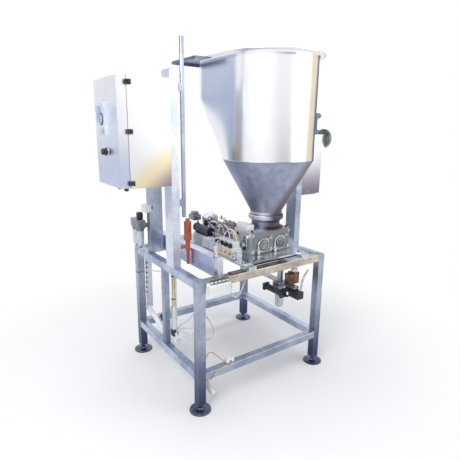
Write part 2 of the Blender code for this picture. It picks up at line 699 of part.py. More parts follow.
def build_valve():
    """The rotor with its crank, and the air actuator whose pin runs in the crank's slot."""
    right = BLOCK_X + BLOCK_WIDTH / 2 - 0.034
    rotor = rod("valve_rotor", (CRANK_X, VALVE_Y, ROTOR_Z), (right, VALVE_Y, ROTOR_Z), ROTOR_RADIUS, DULL_STEEL)
    arm = box(
        "join_crank",
        (
            CRANK_X - CRANK_THICK / 2,
            VALVE_Y - CRANK_WIDTH / 2,
            ACTUATOR_Z - SLOT_OUTWARD - SLOT_WALL,
        ),
        (CRANK_X + CRANK_THICK / 2, VALVE_Y + CRANK_WIDTH / 2, ROTOR_Z + CRANK_WIDTH / 2),
        None,
        bevel=0.003,
    )
    half_slot = PIN_RADIUS + PIN_CLEARANCE
    slot = box(
        "cut_crank_slot",
        (CRANK_X - CRANK_THICK, VALVE_Y - half_slot, ACTUATOR_Z - SLOT_OUTWARD),
        (CRANK_X + CRANK_THICK, VALVE_Y + half_slot, ACTUATOR_Z + SLOT_INWARD),
        None,
    )
    join(rotor, arm)
    cutters = [slot]
    for side, x in (*BORES, ("outlet", OUTLET_X)):
        port = rod(
            f"cut_rotor_{side}",
            (x, VALVE_Y - 0.03, ROTOR_Z),
            (x, VALVE_Y + 0.03, ROTOR_Z),
            PORT_RADIUS - 0.001,
            None,
        )
        cutters.append(port)
    cut(rotor, *cutters)
    build_actuator(ACTUATOR_X)
    build_valve_bank(ACTUATOR_X - BANK_OFFSET)


def build_actuator(x):
    end = ACTUATOR_START + ACTUATOR_LENGTH
    bore = ACTUATOR_RADIUS - ACTUATOR_WALL
    piston = ACTUATOR_START + 0.075
    fork = VALVE_Y + CLEVIS
    plunger = turned(
        "valve_plunger",
        (
            (0, piston + PLUNGER_PISTON),
            (bore - RUNNING, piston + PLUNGER_PISTON),
            (bore - RUNNING, piston),
            (PLUNGER_RADIUS, piston),
            (PLUNGER_RADIUS, fork),
            (0, fork),
        ),
        (x, 0, ACTUATOR_Z),
        (0, 1, 0),
        STEEL,
    )
    clevis = box(
        "join_clevis",
        (x - CLEVIS, VALVE_Y - CLEVIS, ACTUATOR_Z - CLEVIS),
        (x + CLEVIS, VALVE_Y + 2 * CLEVIS, ACTUATOR_Z + CLEVIS),
        None,
    )
    pin_end = CRANK_X + CRANK_THICK / 2 + 0.003
    pin = rod("join_crank_pin", (x, VALVE_Y, ACTUATOR_Z), (pin_end, VALVE_Y, ACTUATOR_Z), PIN_RADIUS, None)
    join(plunger, clevis, pin)
    outer = ACTUATOR_RADIUS + ACTUATOR_BAND
    gland = PLUNGER_RADIUS + RUNNING
    turned(
        "valve_actuator",
        (
            (0, end),
            (outer, end),
            (outer, end - 0.018),
            (ACTUATOR_RADIUS, end - 0.018),
            (ACTUATOR_RADIUS, ACTUATOR_START + 0.018),
            (outer, ACTUATOR_START + 0.018),
            (outer, ACTUATOR_START),
            (2 * gland, ACTUATOR_START),
            (2 * gland, ACTUATOR_START - 0.008),
            (gland, ACTUATOR_START - 0.008),
            (gland, ACTUATOR_START + 0.016),
            (bore, ACTUATOR_START + 0.016),
            (bore, end - 0.012),
            (0, end - 0.012),
        ),
        (x, 0, ACTUATOR_Z),
        (0, 1, 0),
        NAVY,
        steps=24,
    )


def build_valve_bank(x):
    """The bank of small air valves beside the block."""
    low_y = BLOCK_FRONT_Y - 0.005
    bank = box(
        "valve_bank",
        (x - BANK_WIDTH / 2, low_y, PLATE_TOP + GAP),
        (x + BANK_WIDTH / 2, low_y + BANK_LENGTH, PLATE_TOP + BANK_HEIGHT),
        WHITE,
        bevel=0.003,
    )
    margin = (BANK_LENGTH - COIL_PITCH * (COIL_COUNT - 1)) / 2
    for index in range(COIL_COUNT):
        y = low_y + margin + COIL_PITCH * index
        coil = box(
            f"join_coil_{index}",
            (x - BANK_WIDTH / 2 + 0.010, y - COIL_WIDTH / 2, PLATE_TOP + BANK_HEIGHT - 0.010),
            (x + BANK_WIDTH / 2 - 0.010, y + COIL_WIDTH / 2, PLATE_TOP + BANK_HEIGHT + COIL_HEIGHT),
            None,
        )
        join(bank, coil)


def build_outlet():
    """The outlet pipe through the table, the nozzle body on its bar, its cup and the shut-off lever."""
    half = NOZZLE_BODY / 2
    body = box(
        "nozzle_body",
        (OUTLET_X - half, OUTLET_Y - half, NOZZLE_LOW),
        (OUTLET_X + half, OUTLET_Y + half, NOZZLE_TOP),
        DULL_STEEL,
        bevel=0.004,
    )
    into_body = NOZZLE_TOP - 0.004
    pipe = rod(
        "join_outlet_pipe",
        (OUTLET_X, OUTLET_Y, into_body),
        (OUTLET_X, OUTLET_Y, BLOCK_LOW - GAP),
        OUTLET_RADIUS,
        None,
    )
    bar = box(
        "join_nozzle_bar",
        (OUTLET_X - BAR_WIDTH / 2, OUTLET_Y - BAR_LENGTH / 2, into_body),
        (OUTLET_X + BAR_WIDTH / 2, OUTLET_Y + BAR_LENGTH / 2, into_body + BAR_THICK),
        None,
    )
    join(body, bar, pipe)
    bore = rod(
        "cut_nozzle_bore",
        (OUTLET_X, OUTLET_Y, NOZZLE_LOW - 0.01),
        (OUTLET_X, OUTLET_Y, BLOCK_LOW + 0.01),
        OUTLET_BORE,
        None,
    )
    plug_bore = rod(
        "cut_plug_bore",
        (OUTLET_X, OUTLET_Y - half - 0.01, PLUG_Z),
        (OUTLET_X, OUTLET_Y + half - PLUG_END + 0.002, PLUG_Z),
        PLUG_RADIUS + RUNNING,
        None,
    )
    cut(body, bore, plug_bore)
    top = NOZZLE_LOW - GAP
    turned(
        "nozzle_cup",
        (
            (OUTLET_BORE, top),
            (CUP_RADIUS - 0.006, top),
            (CUP_RADIUS, top - 0.006),
            (CUP_RADIUS, top - CUP_LENGTH + 0.010),
            (CUP_RADIUS - 0.008, top - CUP_LENGTH),
            (OUTLET_BORE, top - CUP_LENGTH),
            (OUTLET_BORE, top),
        ),
        (OUTLET_X, OUTLET_Y, 0),
        (0, 0, 1),
        WHITE,
    )
    build_lever(half)


def build_lever(half):
    """The plug across the nozzle, with its stem to the front and the bent handle on it."""
    plug = turned(
        "shutoff_lever",
        (
            (0, LEVER_REACH + 0.010),
            (0.013, LEVER_REACH + 0.010),
            (0.013, LEVER_REACH - 0.010),
            (0.009, LEVER_REACH - 0.010),
            (0.009, half + 0.010),
            (PLUG_FLANGE, half + 0.010),
            (PLUG_FLANGE, half + GAP),
            (PLUG_RADIUS, half + GAP),
            (PLUG_RADIUS, PLUG_END - half),
            (0, PLUG_END - half),
        ),
        (OUTLET_X, OUTLET_Y, PLUG_Z),
        (0, -1, 0),
        STEEL,
    )
    lever_y = OUTLET_Y - LEVER_REACH
    shape = ((0.0, 0.02), (0.25, 0.20), (0.45, 0.60), (1.0, 1.0))
    handle = bent_bar(
        "join_lever_handle",
        [(OUTLET_X + side * LEVER_SIDE, lever_y, PLUG_Z + rise * LEVER_RISE) for side, rise in shape],
        LEVER_RADIUS,
    )
    port = rod(
        "cut_lever_port",
        (OUTLET_X, OUTLET_Y, PLUG_Z - 2 * PLUG_RADIUS),
        (OUTLET_X, OUTLET_Y, PLUG_Z + 2 * PLUG_RADIUS),
        PLUG_RADIUS - 0.004,
        None,
    )
    join(plug, handle)
    cut(plug, port)


def bent_bar(name, points, radius):
    """A smooth bar through the points, made a closed mesh so that it can be joined."""
    curve = bpy.data.curves.new(name, "CURVE")
    curve.dimensions = "3D"
    curve.bevel_depth = radius
    curve.bevel_resolution = 2
    curve.use_fill_caps = True
    curve.resolution_u = 6
    spline = curve.splines.new("BEZIER")
    spline.bezier_points.add(len(points) - 1)
    for point, place in zip(spline.bezier_points, points):
        point.co = place
        point.handle_left_type = point.handle_right_type = "AUTO"
    guide = bpy.data.objects.new(f"guide_{name}", curve)
    CUTTERS.objects.link(guide)
    guide.hide_render = True
    bpy.context.view_layer.update()
    graph = bpy.context.evaluated_depsgraph_get()
    mesh = bpy.data.meshes.new_from_object(guide.evaluated_get(graph))
    bpy.data.objects.remove(guide, do_unlink=True)
    shape = bmesh.new()
    shape.from_mesh(mesh)
    bmesh.ops.remove_doubles(shape, verts=shape.verts, dist=0.00001)
    bmesh.ops.recalc_face_normals(shape, faces=shape.faces)
    shape.to_mesh(mesh)
    shape.free()
    return add(name, mesh, None)


def hopper_ring(radius, back, corner, z, grow=0.0):
    """One level of the hopper: a half circle in front, and behind it a back wall with round corners."""
    radius, back, corner = radius + grow, back + grow, corner + grow
    points = []
    for step in range(33):
        angle = math.pi + math.pi * step / 32
        points.append((radius * math.cos(angle), radius * math.sin(angle)))
    for centre_x, first in ((radius - corner, 0), (-radius + corner, 90)):
        for step in range(9):
            angle = math.radians(first + 90 * step / 8)
            points.append((centre_x + corner * math.cos(angle), back - corner + corner * math.sin(angle)))
    return [(HOPPER_X + x, HOPPER_Y + y, z) for x, y in points]


def loft(name, rings, finish, closed=False, capped=False):
    """A skin through rings of as many points each, from the lowest to the highest."""
    mesh = bpy.data.meshes.new(name)
    shape = bmesh.new()
    rows = [[shape.verts.new(point) for point in ring] for ring in rings]
    count = len(rings[0])
    pairs = list(zip(rows, rows[1:] + rows[:1] if closed else rows[1:]))
    for low, high in pairs:
        for i in range(count):
            j = (i + 1) % count
            shape.faces.new((low[i], low[j], high[j], high[i]))
    if capped:
        shape.faces.new(rows[0][::-1])
        shape.faces.new(rows[-1])
    bmesh.ops.remove_doubles(shape, verts=shape.verts, dist=0.000001)
    shape.to_mesh(mesh)
    shape.free()
    return add(name, mesh, finish)


def build_hopper():
    """Hopper body, cone, neck clamp and the tray behind the rim."""
    wall = HOPPER_WALL
    square = (HOPPER_RADIUS, HOPPER_BACK, HOPPER_CORNER)
    circle = (HOPPER_RADIUS, HOPPER_RADIUS, HOPPER_RADIUS - 0.0001)
    seam = HOPPER_SEAM_Z + GAP
    rim_low = HOPPER_RIM_Z - RIM_THICK
    loft(
        "hopper_body",
        (
            hopper_ring(*circle, seam),
            hopper_ring(*square, HOPPER_SLOPE_Z),
            hopper_ring(*square, rim_low),
            hopper_ring(*square, rim_low, RIM_WIDTH),
            hopper_ring(*square, HOPPER_RIM_Z, RIM_WIDTH),
            hopper_ring(*square, HOPPER_RIM_Z, -wall),
            hopper_ring(*square, HOPPER_SLOPE_Z, -wall),
            hopper_ring(*circle, seam, -wall),
        ),
        STEEL,
        closed=True,
    )
    low = BLOCK_TOP + GAP
    clamp_top = NECK_TOP_Z - CLAMP_DROP
    clamp_low = clamp_top - CLAMP_HEIGHT
    step_high = clamp_low - 0.004
    step_low = step_high - NECK_STEP
    outlet = NECK_RADIUS - NECK_STEP
    flange = NECK_RADIUS + NECK_FLANGE
    turned(
        "hopper_cone",
        (
            (outlet - wall, low),
            (outlet - wall, step_low),
            (NECK_RADIUS - wall, step_high),
            (NECK_RADIUS - wall, NECK_TOP_Z),
            (HOPPER_RADIUS - wall, HOPPER_SEAM_Z),
            (HOPPER_RADIUS, HOPPER_SEAM_Z),
            (NECK_RADIUS, NECK_TOP_Z),
            (NECK_RADIUS, step_high),
            (outlet, step_low),
            (outlet, low + 0.014),
            (flange, low + 0.010),
            (flange, low),
            (outlet - wall, low),
        ),
        (HOPPER_X, HOPPER_Y, 0),
        (0, 0, 1),
        DULL_STEEL,
        steps=40,
    )
    inner = NECK_RADIUS + GAP
    ring = inner + CLAMP_WIDTH
    turned(
        "neck_clamp",
        (
            (inner, clamp_low),
            (inner, clamp_top),
            (ring - 0.003, clamp_top),
            (ring, clamp_top - 0.004),
            (ring, clamp_low + 0.004),
            (ring - 0.003, clamp_low),
            (inner, clamp_low),
        ),
        (HOPPER_X, HOPPER_Y, 0),
        (0, 0, 1),
        STEEL,
        steps=40,
    )
    build_tray(square, rim_low - GAP)


def build_tray(square, top):
    """The lipped tray under the rim, beside and behind the hopper's back half."""
    low_x = HOPPER_X - HOPPER_RADIUS - TRAY_SIDE
    high_x = HOPPER_X + HOPPER_RADIUS + TRAY_SIDE
    low_y = HOPPER_Y + TRAY_FRONT
    high_y = HOPPER_Y + HOPPER_BACK + RIM_WIDTH + TRAY_BACK
    tray = box("rim_tray", (low_x, low_y, top - TRAY_THICK), (high_x, high_y, top), STEEL)
    lip = top - TRAY_LIP
    for place, low, high in (
        ("left", (low_x, low_y), (low_x + TRAY_THICK, high_y)),
        ("right", (high_x - TRAY_THICK, low_y), (high_x, high_y)),
        ("back", (low_x, high_y - TRAY_THICK), (high_x, high_y)),
    ):
        join(tray, box(f"join_lip_{place}", (*low, lip), (*high, top), None))
    rings = [hopper_ring(*square, z, GAP) for z in (lip - 0.05, top + 0.05)]
    notch = loft("cut_tray_notch", rings, None, capped=True)
    cut(tray, notch)


def pan(name, low, high, wall, open_side, finish):
    """A box with one open side: -1 for its low X side and 1 for its high X side."""
    body = box(name, low, high, finish)
    inner_low = [value + wall for value in low]
    inner_high = [value - wall for value in high]
    if open_side < 0:
        inner_low[0] = low[0] - 0.02
    else:
        inner_high[0] = high[0] + 0.02
    return cut(body, box(f"cut_{name}", inner_low, inner_high, None))


def knuckle(name, x, y, low, high, reach):
    """A hinge barrel, with a leaf that reaches back to the wall it is welded to."""
    barrel = rod(f"join_{name}", (x, y, low), (x, y, high), HINGE_RADIUS, None, sides=16)
    leaf = box(
        f"join_leaf_{name}",
        (min(x, x + reach), y - HINGE_OUT - 0.002, low),
        (max(x, x + reach), y - 0.001, high),
        None,
    )
    return leaf, barrel


def hinged_pair(body, door, hinge, span, into_body, into_door):
    """Gives the body a knuckle at each end of the hinge and the door the one between them."""
    x, y, middle = hinge
    sixth = span / 6
    for place, start in (("bottom", middle - span / 2), ("top", middle + sixth)):
        join(body, *knuckle(f"{body.name}_{place}", x, y, start, start + 2 * sixth, into_body))
    low, high = middle - sixth + RUNNING, middle + sixth - RUNNING
    join(door, *knuckle(f"{door.name}_middle", x, y, low, high, into_door))


def build_cabinet():
    body = pan(
        "cabinet_body",
        (CABINET_FRONT_X, CABINET_LOW_Y, CABINET_LOW_Z),
        (CABINET_BACK_X, CABINET_HIGH_Y, CABINET_TOP),
        CABINET_WALL,
        -1,
        STEEL,
    )
    door = pan(
        "cabinet_door",
        (DOOR_FRONT_X, CABINET_LOW_Y + DOOR_MARGIN, CABINET_LOW_Z + DOOR_MARGIN),
        (DOOR_BACK_X, CABINET_HIGH_Y, CABINET_TOP - DOOR_MARGIN),
        DOOR_WALL,
        1,
        STEEL,
    )
    hinge = (CABINET_FRONT_X - DOOR_GAP / 2, CABINET_HIGH_Y + HINGE_OUT, (CABINET_LOW_Z + CABINET_TOP) / 2)
    hinged_pair(body, door, hinge, HINGE_SPAN, LEAF, -LEAF)
    wall_x = CABINET_BACK_X - CABINET_WALL - GAP
    panel_x = wall_x - PANEL_THICK
    panel = box(
        "back_panel",
        (panel_x, CABINET_LOW_Y + PANEL_MARGIN, CABINET_LOW_Z + PANEL_MARGIN),
        (wall_x, CABINET_HIGH_Y - PANEL_MARGIN, CABINET_TOP - PANEL_MARGIN),
        WHITE,
    )
    for place, lift, height in (("terminals", 0.09, 0.10), ("relays", 0.25, 0.09), ("breakers", 0.40, 0.06)):
        row = box(
            f"join_{place}",
            (panel_x - 0.080, CABINET_LOW_Y + 2 * PANEL_MARGIN, CABINET_LOW_Z + lift),
            (panel_x + 0.005, CABINET_HIGH_Y - 2 * PANEL_MARGIN, CABINET_LOW_Z + lift + height),
            None,
        )
        join(panel, row)
    for place, lift in CLAMP_LIFTS:
        build_clamp(place, CABINET_LOW_Z + lift)
    build_controls(door)
    pivot_at(door, hinge)


def build_clamp(place, z):
    """A door clamp on the cabinet's near side: a lug that turns on its screw."""
    y = CABINET_LOW_Y - GAP
    x = CABINET_FRONT_X + LUG_INSET
    clamp = turned(
        f"door_clamp_{place}",
        (
            (0, LUG_THICK + 0.004),
            (0.007, LUG_THICK + 0.004),
            (0.007, LUG_THICK - 0.001),
            (0.011, 0.002),
            (0.011, 0),
            (0, 0),
        ),
        (x, y, z),
        (0, -1, 0),
        DULL_STEEL,
        steps=16,
    )
    lug = box(
        f"join_lug_{place}",
        (x + LUG_INSET - LUG_WIDTH, y - LUG_THICK, z - LUG_HEIGHT / 2),
        (x + LUG_INSET - 0.002, y - 0.003, z + LUG_HEIGHT / 2),
        None,
        bevel=0.002,
    )
    join(clamp, lug)


def build_controls(door):
    """The disconnect switch with its lever, and the selector knob, all on the door."""
    y, z = CABINET_LOW_Y + SWITCH_Y, CABINET_LOW_Z + SWITCH_LIFT
    front = DOOR_FRONT_X - SWITCH_DEPTH
    base = box(
        "join_disconnect_base",
        (front, y - SWITCH_WIDTH / 2, z - SWITCH_HEIGHT / 2),
        (DOOR_FRONT_X + DOOR_WALL / 2, y + SWITCH_WIDTH / 2, z + SWITCH_HEIGHT / 2),
        None,
    )
    join(door, base)
    start = front - GAP
    lever = turned(
        "disconnect_handle",
        ((0, 0.026), (0.020, 0.026), (0.024, 0.020), (0.026, 0), (0, 0)),
        (start, y, z),
        (-1, 0, 0),
        BLACK,
    )
    grip = box(
        "join_grip",
        (start - 0.026, y - 0.012, z - 0.020),
        (start - 0.006, y + 0.012, z + 0.072),
        None,
        bevel=0.004,
    )
    join(lever, grip)
    skirt = SELECTOR_RADIUS + 0.004
    turned(
        "selector_knob",
        (
            (0, 0.030),
            (SELECTOR_RADIUS - 0.004, 0.030),
            (SELECTOR_RADIUS - 0.001, 0.027),
            (SELECTOR_RADIUS, 0.010),
            (skirt, 0.008),
            (skirt, 0),
            (0, 0),
        ),
        (DOOR_FRONT_X - GAP, CABINET_LOW_Y + SELECTOR_Y, CABINET_LOW_Z + SELECTOR_LIFT),
        (-1, 0, 0),
        BLACK,
    )


def build_air_box():
    """The air box with its door, and the handwheel on the housing above it."""
    body = pan(
        "air_box",
        (BOX_BACK_X, BOX_LOW_Y, BOX_LOW_Z),
        (BOX_FRONT_X, BOX_HIGH_Y, BOX_TOP),
        CABINET_WALL,
        1,
        STEEL,
    )
    door_x = BOX_FRONT_X + DOOR_GAP
    door = pan(
        "air_box_door",
        (door_x, BOX_LOW_Y + DOOR_MARGIN, BOX_LOW_Z + DOOR_MARGIN),
        (door_x + BOX_DOOR, BOX_HIGH_Y, BOX_TOP - DOOR_MARGIN),
        DOOR_WALL,
        -1,
        STEEL,
    )
    hinge = (BOX_FRONT_X + DOOR_GAP / 2, BOX_HIGH_Y + HINGE_OUT, (BOX_LOW_Z + BOX_TOP) / 2)
    hinged_pair(body, door, hinge, BOX_HINGE_SPAN, -LEAF, LEAF)
    pivot_at(door, hinge)
    y, wheel_x, wheel_z = BOX_LOW_Y + WHEEL_Y, BOX_FRONT_X + HOUSING_OUT, BOX_TOP + WHEEL_LIFT
    housing = box(
        "join_wheel_housing",
        (BOX_FRONT_X - HOUSING_BACK, y - HOUSING / 2, BOX_TOP - CABINET_WALL / 2),
        (wheel_x, y + HOUSING / 2, wheel_z + HOUSING / 2),
        None,
    )
    join(body, housing)
    web = WHEEL_RADIUS - 2 * WHEEL_RIM
    turned(
        "speed_handwheel",
        (
            (0, WHEEL_WIDTH),
            (0.016, WHEEL_WIDTH),
            (0.018, WHEEL_WIDTH - 0.012),
            (web, WHEEL_WIDTH - 0.014),
            (web + 0.004, WHEEL_WIDTH - 0.002),
            (WHEEL_RADIUS - 0.004, WHEEL_WIDTH),
            (WHEEL_RADIUS, WHEEL_WIDTH - 0.006),
            (WHEEL_RADIUS, 0.006),
            (WHEEL_RADIUS - 0.004, 0),
            (0, 0),
        ),
        (wheel_x + GAP, y, wheel_z),
        (1, 0, 0),
        DULL_STEEL,
        steps=24,
    )


def build_air_service():
    """The filter unit behind the rear post and the manifold under the front rail."""
    post_back = REAR_POST_Y + TUBE + GAP
    x, y = FILTER_X, REAR_POST_Y + TUBE + FILTER_BACK
    low = TABLE_HEIGHT + FILTER_LIFT
    unit = box(
        "filter_unit",
        (x - 0.026, y - 0.085, low),
        (x + 0.026, y + 0.060, low + 0.060),
        DULL_STEEL,
        bevel=0.004,
    )
    arm = box(
        "join_filter_arm",
        (REAR_POST_X - REAR_POST_WIDTH / 2 + 0.002, post_back, low + 0.015),
        (x + 0.024, y - 0.080, low + 0.045),
        None,
    )
    join(unit, arm)
    for place, offset in (("near", -0.045), ("far", 0.028)):
        bowl = rod(
            f"join_bowl_{place}",
            (x, y + offset, low - BOWL_LENGTH),
            (x, y + offset, low + 0.010),
            BOWL_RADIUS,
            None,
        )
        join(unit, bowl)
    turned(
        "filter_knob",
        ((0, 0.050), (0.018, 0.050), (0.022, 0.044), (0.022, 0.006), (0.018, 0), (0, 0)),
        (x, y - 0.045, low + 0.060 + GAP),
        (0, 0, 1),
        BLACK,
    )
    top = TABLE_HEIGHT - MANIFOLD_DROP
    front_y = -TUBE / 2 - GAP
    low_x = MANIFOLD_LOW_X
    manifold = box(
        "front_manifold",
        (low_x, front_y - MANIFOLD_DEPTH, top - MANIFOLD_HEIGHT),
        (low_x + MANIFOLD_LENGTH, front_y, top),
        WHITE,
        bevel=0.008,
    )
    margin = (MANIFOLD_LENGTH - PLUG_PITCH * (PLUG_COUNT - 1)) / 2
    plug_y = front_y - MANIFOLD_DEPTH + 0.020
    for index in range(PLUG_COUNT):
        plug_x = low_x + margin + PLUG_PITCH * index
        plug = rod(
            f"join_plug_{index}",
            (plug_x, plug_y, top - 0.01),
            (plug_x, plug_y, top + PLUG_HEAD),
            0.008,
            None,
            sides=12,
        )
        join(manifold, plug)


build_legs()
build_rails()
build_posts()
build_mast()
build_base_plate()
build_block()
for bore_side, bore_x in BORES:
    build_cover(bore_side, bore_x)
    build_drive(bore_side, bore_x)
build_valve()
build_outlet()
build_hopper()
build_cabinet()
build_air_box()
build_air_service()
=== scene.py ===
"""Looks of the piston liquid filler: finishes, fittings, hoses, welds and the studio round its frame."""

from __future__ import annotations

import json
import logging
import math
from dataclasses import dataclass, replace
from enum import Enum

import bmesh
import bpy
import numpy as np
from mathutils import Matrix, Vector

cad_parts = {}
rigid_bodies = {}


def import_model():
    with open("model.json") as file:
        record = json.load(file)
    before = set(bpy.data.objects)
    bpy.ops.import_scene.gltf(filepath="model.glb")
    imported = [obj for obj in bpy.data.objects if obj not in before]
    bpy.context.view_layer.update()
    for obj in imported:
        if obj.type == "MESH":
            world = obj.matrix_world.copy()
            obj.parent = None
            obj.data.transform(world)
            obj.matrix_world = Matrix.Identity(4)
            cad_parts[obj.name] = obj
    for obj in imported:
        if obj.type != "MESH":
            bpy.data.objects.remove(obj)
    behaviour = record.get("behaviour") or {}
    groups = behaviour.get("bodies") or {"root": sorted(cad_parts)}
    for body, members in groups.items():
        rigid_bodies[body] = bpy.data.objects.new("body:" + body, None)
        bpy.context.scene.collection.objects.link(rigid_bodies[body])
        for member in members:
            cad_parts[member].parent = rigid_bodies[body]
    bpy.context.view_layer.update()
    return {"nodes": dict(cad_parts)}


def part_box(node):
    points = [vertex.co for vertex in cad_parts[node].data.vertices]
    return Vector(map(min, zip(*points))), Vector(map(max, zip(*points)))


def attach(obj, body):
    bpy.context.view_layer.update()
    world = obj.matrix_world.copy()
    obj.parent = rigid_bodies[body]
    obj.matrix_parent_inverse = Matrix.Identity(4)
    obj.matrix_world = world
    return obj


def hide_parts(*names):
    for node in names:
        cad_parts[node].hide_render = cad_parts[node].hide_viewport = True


LOG = logging.getLogger("filler")
Point = tuple[float, float, float]


# --------------------------------------------------------------------------- surfaces


@dataclass(frozen=True)
class Surface:
    """A closed surface: its points, its four-sided faces and its three-sided faces."""

    points: np.ndarray
    quads: np.ndarray
    tris: np.ndarray


def merged(surfaces: list[Surface]) -> Surface:
    """Several surfaces as one, with each one's faces counted on from the last one's points."""
    starts = np.cumsum([0] + [len(s.points) for s in surfaces[:-1]])
    return Surface(
        np.concatenate([s.points for s in surfaces]),
        np.concatenate([s.quads + start for s, start in zip(surfaces, starts)]),
        np.concatenate([s.tris + start for s, start in zip(surfaces, starts)]),
    )


def grid_quads(rows: int, columns: int, wrap_rows: bool) -> np.ndarray:
    """Faces between neighbours of a grid whose columns close on themselves.

    Point (i, j) is number i * columns + j, and each face joins (i, j), (i, j+1), (i+1, j+1), (i+1, j).

    Args:
        rows: Rows of points.
        columns: Points in a row.
        wrap_rows: Whether the last row joins the first.

    Returns:
        The faces, four point numbers each.
    """
    i, j = np.meshgrid(np.arange(rows if wrap_rows else rows - 1), np.arange(columns), indexing="ij")
    i, j = i.ravel(), j.ravel()
    below, beside = (i + 1) % rows, (j + 1) % columns
    corners = (i * columns + j, i * columns + beside, below * columns + beside, below * columns + j)
    return np.stack(corners, 1)


def ring(grid: np.ndarray) -> Surface:
    """A grid of points (rows, columns, 3) that closes on itself both ways, such as a pipe with a wall."""
    rows, columns = grid.shape[:2]
    return Surface(grid.reshape(-1, 3), grid_quads(rows, columns, True), np.empty((0, 3), int))


def capped(grid: np.ndarray) -> Surface:
    """A grid whose columns close on themselves, with a fan of triangles to the middle of each end row.

    Args:
        grid: Points as (rows, columns, 3).

    Returns:
        The closed surface.
    """
    rows, columns = grid.shape[:2]
    count = rows * columns
    points = np.concatenate([grid.reshape(-1, 3), [grid[0].mean(0)], [grid[-1].mean(0)]])
    here = np.arange(columns)
    there = (here + 1) % columns
    first = np.stack([there, here, np.full(columns, count)], 1)
    last = np.stack([here + count - columns, there + count - columns, np.full(columns, count + 1)], 1)
    return Surface(points, grid_quads(rows, columns, False), np.concatenate([first, last]))


def basis(axis: Point) -> tuple[np.ndarray, np.ndarray, np.ndarray]:
    """The unit axis and two unit directions across it, each square to the others."""
    forward = np.asarray(axis, float) / np.linalg.norm(axis)
    helper = np.eye(3)[np.argmin(np.abs(forward))]
    side = np.cross(forward, helper)
    side /= np.linalg.norm(side)
    return forward, side, np.cross(forward, side)


def turned_grid(profile: list[tuple[float, float]], at: Point, axis: Point, sides: int) -> np.ndarray:
    """A profile carried round an axis: at + h axis + r (cos a side + sin a up).

    Args:
        profile: Pairs of radius r and height h along the axis.
        at: The point where h is 0.
        axis: The direction of the axis.
        sides: How many times the profile is repeated round it.

    Returns:
        Points as (profile, sides, 3).
    """
    forward, side, up = basis(axis)
    radius, height = np.asarray(profile, float).T
    angle = np.arange(sides) * 2 * math.pi / sides
    around = np.cos(angle)[:, None] * side + np.sin(angle)[:, None] * up
    return np.asarray(at, float) + height[:, None, None] * forward + radius[:, None, None] * around


def turned(profile: list[tuple[float, float]], at: Point, axis: Point = (0, 0, 1),
           sides: int = 32) -> Surface:
    """A turned solid with flat ends, from turned_grid."""
    return capped(turned_grid(profile, at, axis, sides))


def turned_ring(profile: list[tuple[float, float]], at: Point, axis: Point = (0, 0, 1),
                sides: int = 48) -> Surface:
    """A turned ring or sleeve: the profile is a closed loop that stays off the axis."""
    return ring(turned_grid(profile, at, axis, sides))


def collar(inner: float, outer: float, height: float, at: Point, axis: Point = (0, 0, 1),
           sides: int = 40) -> Surface:
    """A plain ring of rectangular section.

    Args:
        inner: Inside radius.
        outer: Outside radius.
        height: Height along the axis.
        at: The middle of its foot.
        axis: The direction that it rises in.
        sides: Sides round the axis.

    Returns:
        The closed ring.
    """
    return turned_ring([(inner, 0.0), (outer, 0.0), (outer, height), (inner, height)], at, axis, sides)


def rod(start: Point, end: Point, radius: float, sides: int = 16, edge: float = 0.0006) -> Surface:
    """A round bar between two points, with its edges broken by a small slope."""
    span = np.asarray(end, float) - np.asarray(start, float)
    length = float(np.linalg.norm(span))
    profile = [(radius - edge, 0), (radius, edge), (radius, length - edge), (radius - edge, length)]
    return turned(profile, start, tuple(span), sides)


def hexagon(start: Point, end: Point, radius: float) -> Surface:
    """A hexagonal bar such as a bolt head or nut, with its corners sloped at both ends."""
    return rod(start, end, radius, sides=6, edge=radius * 0.12)


def rounded_box(low: Point, high: Point, radius: float = 0.002, steps: int = 3) -> Surface:
    """A box with round edges: a small sphere whose eight octants are pushed out to the corners.

    Each point is middle + s (half size - radius) + radius n, where n is the sphere's direction and s the
    signs of its octant, so that the gaps between octants become the flat sides.

    Args:
        low: Lowest corner.
        high: Highest corner.
        radius: Radius of the edges.
        steps: Points along a quarter of a circle.

    Returns:
        The closed surface.
    """
    low_corner, high_corner = np.asarray(low, float), np.asarray(high, float)
    middle, half = (low_corner + high_corner) / 2, (high_corner - low_corner) / 2
    radius = min(radius, 0.98 * half.min())
    quarter = np.linspace(0, math.pi / 2, steps)
    longitude = np.concatenate([quarter + k * math.pi / 2 for k in range(4)])
    latitude = np.concatenate([quarter - math.pi / 2, quarter])
    around, upward = np.meshgrid(longitude, latitude)
    normal = np.stack([np.cos(upward) * np.cos(around), np.cos(upward) * np.sin(around), np.sin(upward)], 2)
    turn = np.repeat(np.arange(4), steps)
    signs = np.empty_like(normal)
    signs[..., 0] = np.where((turn == 0) | (turn == 3), 1, -1)
    signs[..., 1] = np.where(turn < 2, 1, -1)
    signs[..., 2] = np.repeat([-1, 1], steps)[:, None]
    return capped(middle + signs * (half - radius) + radius * normal)


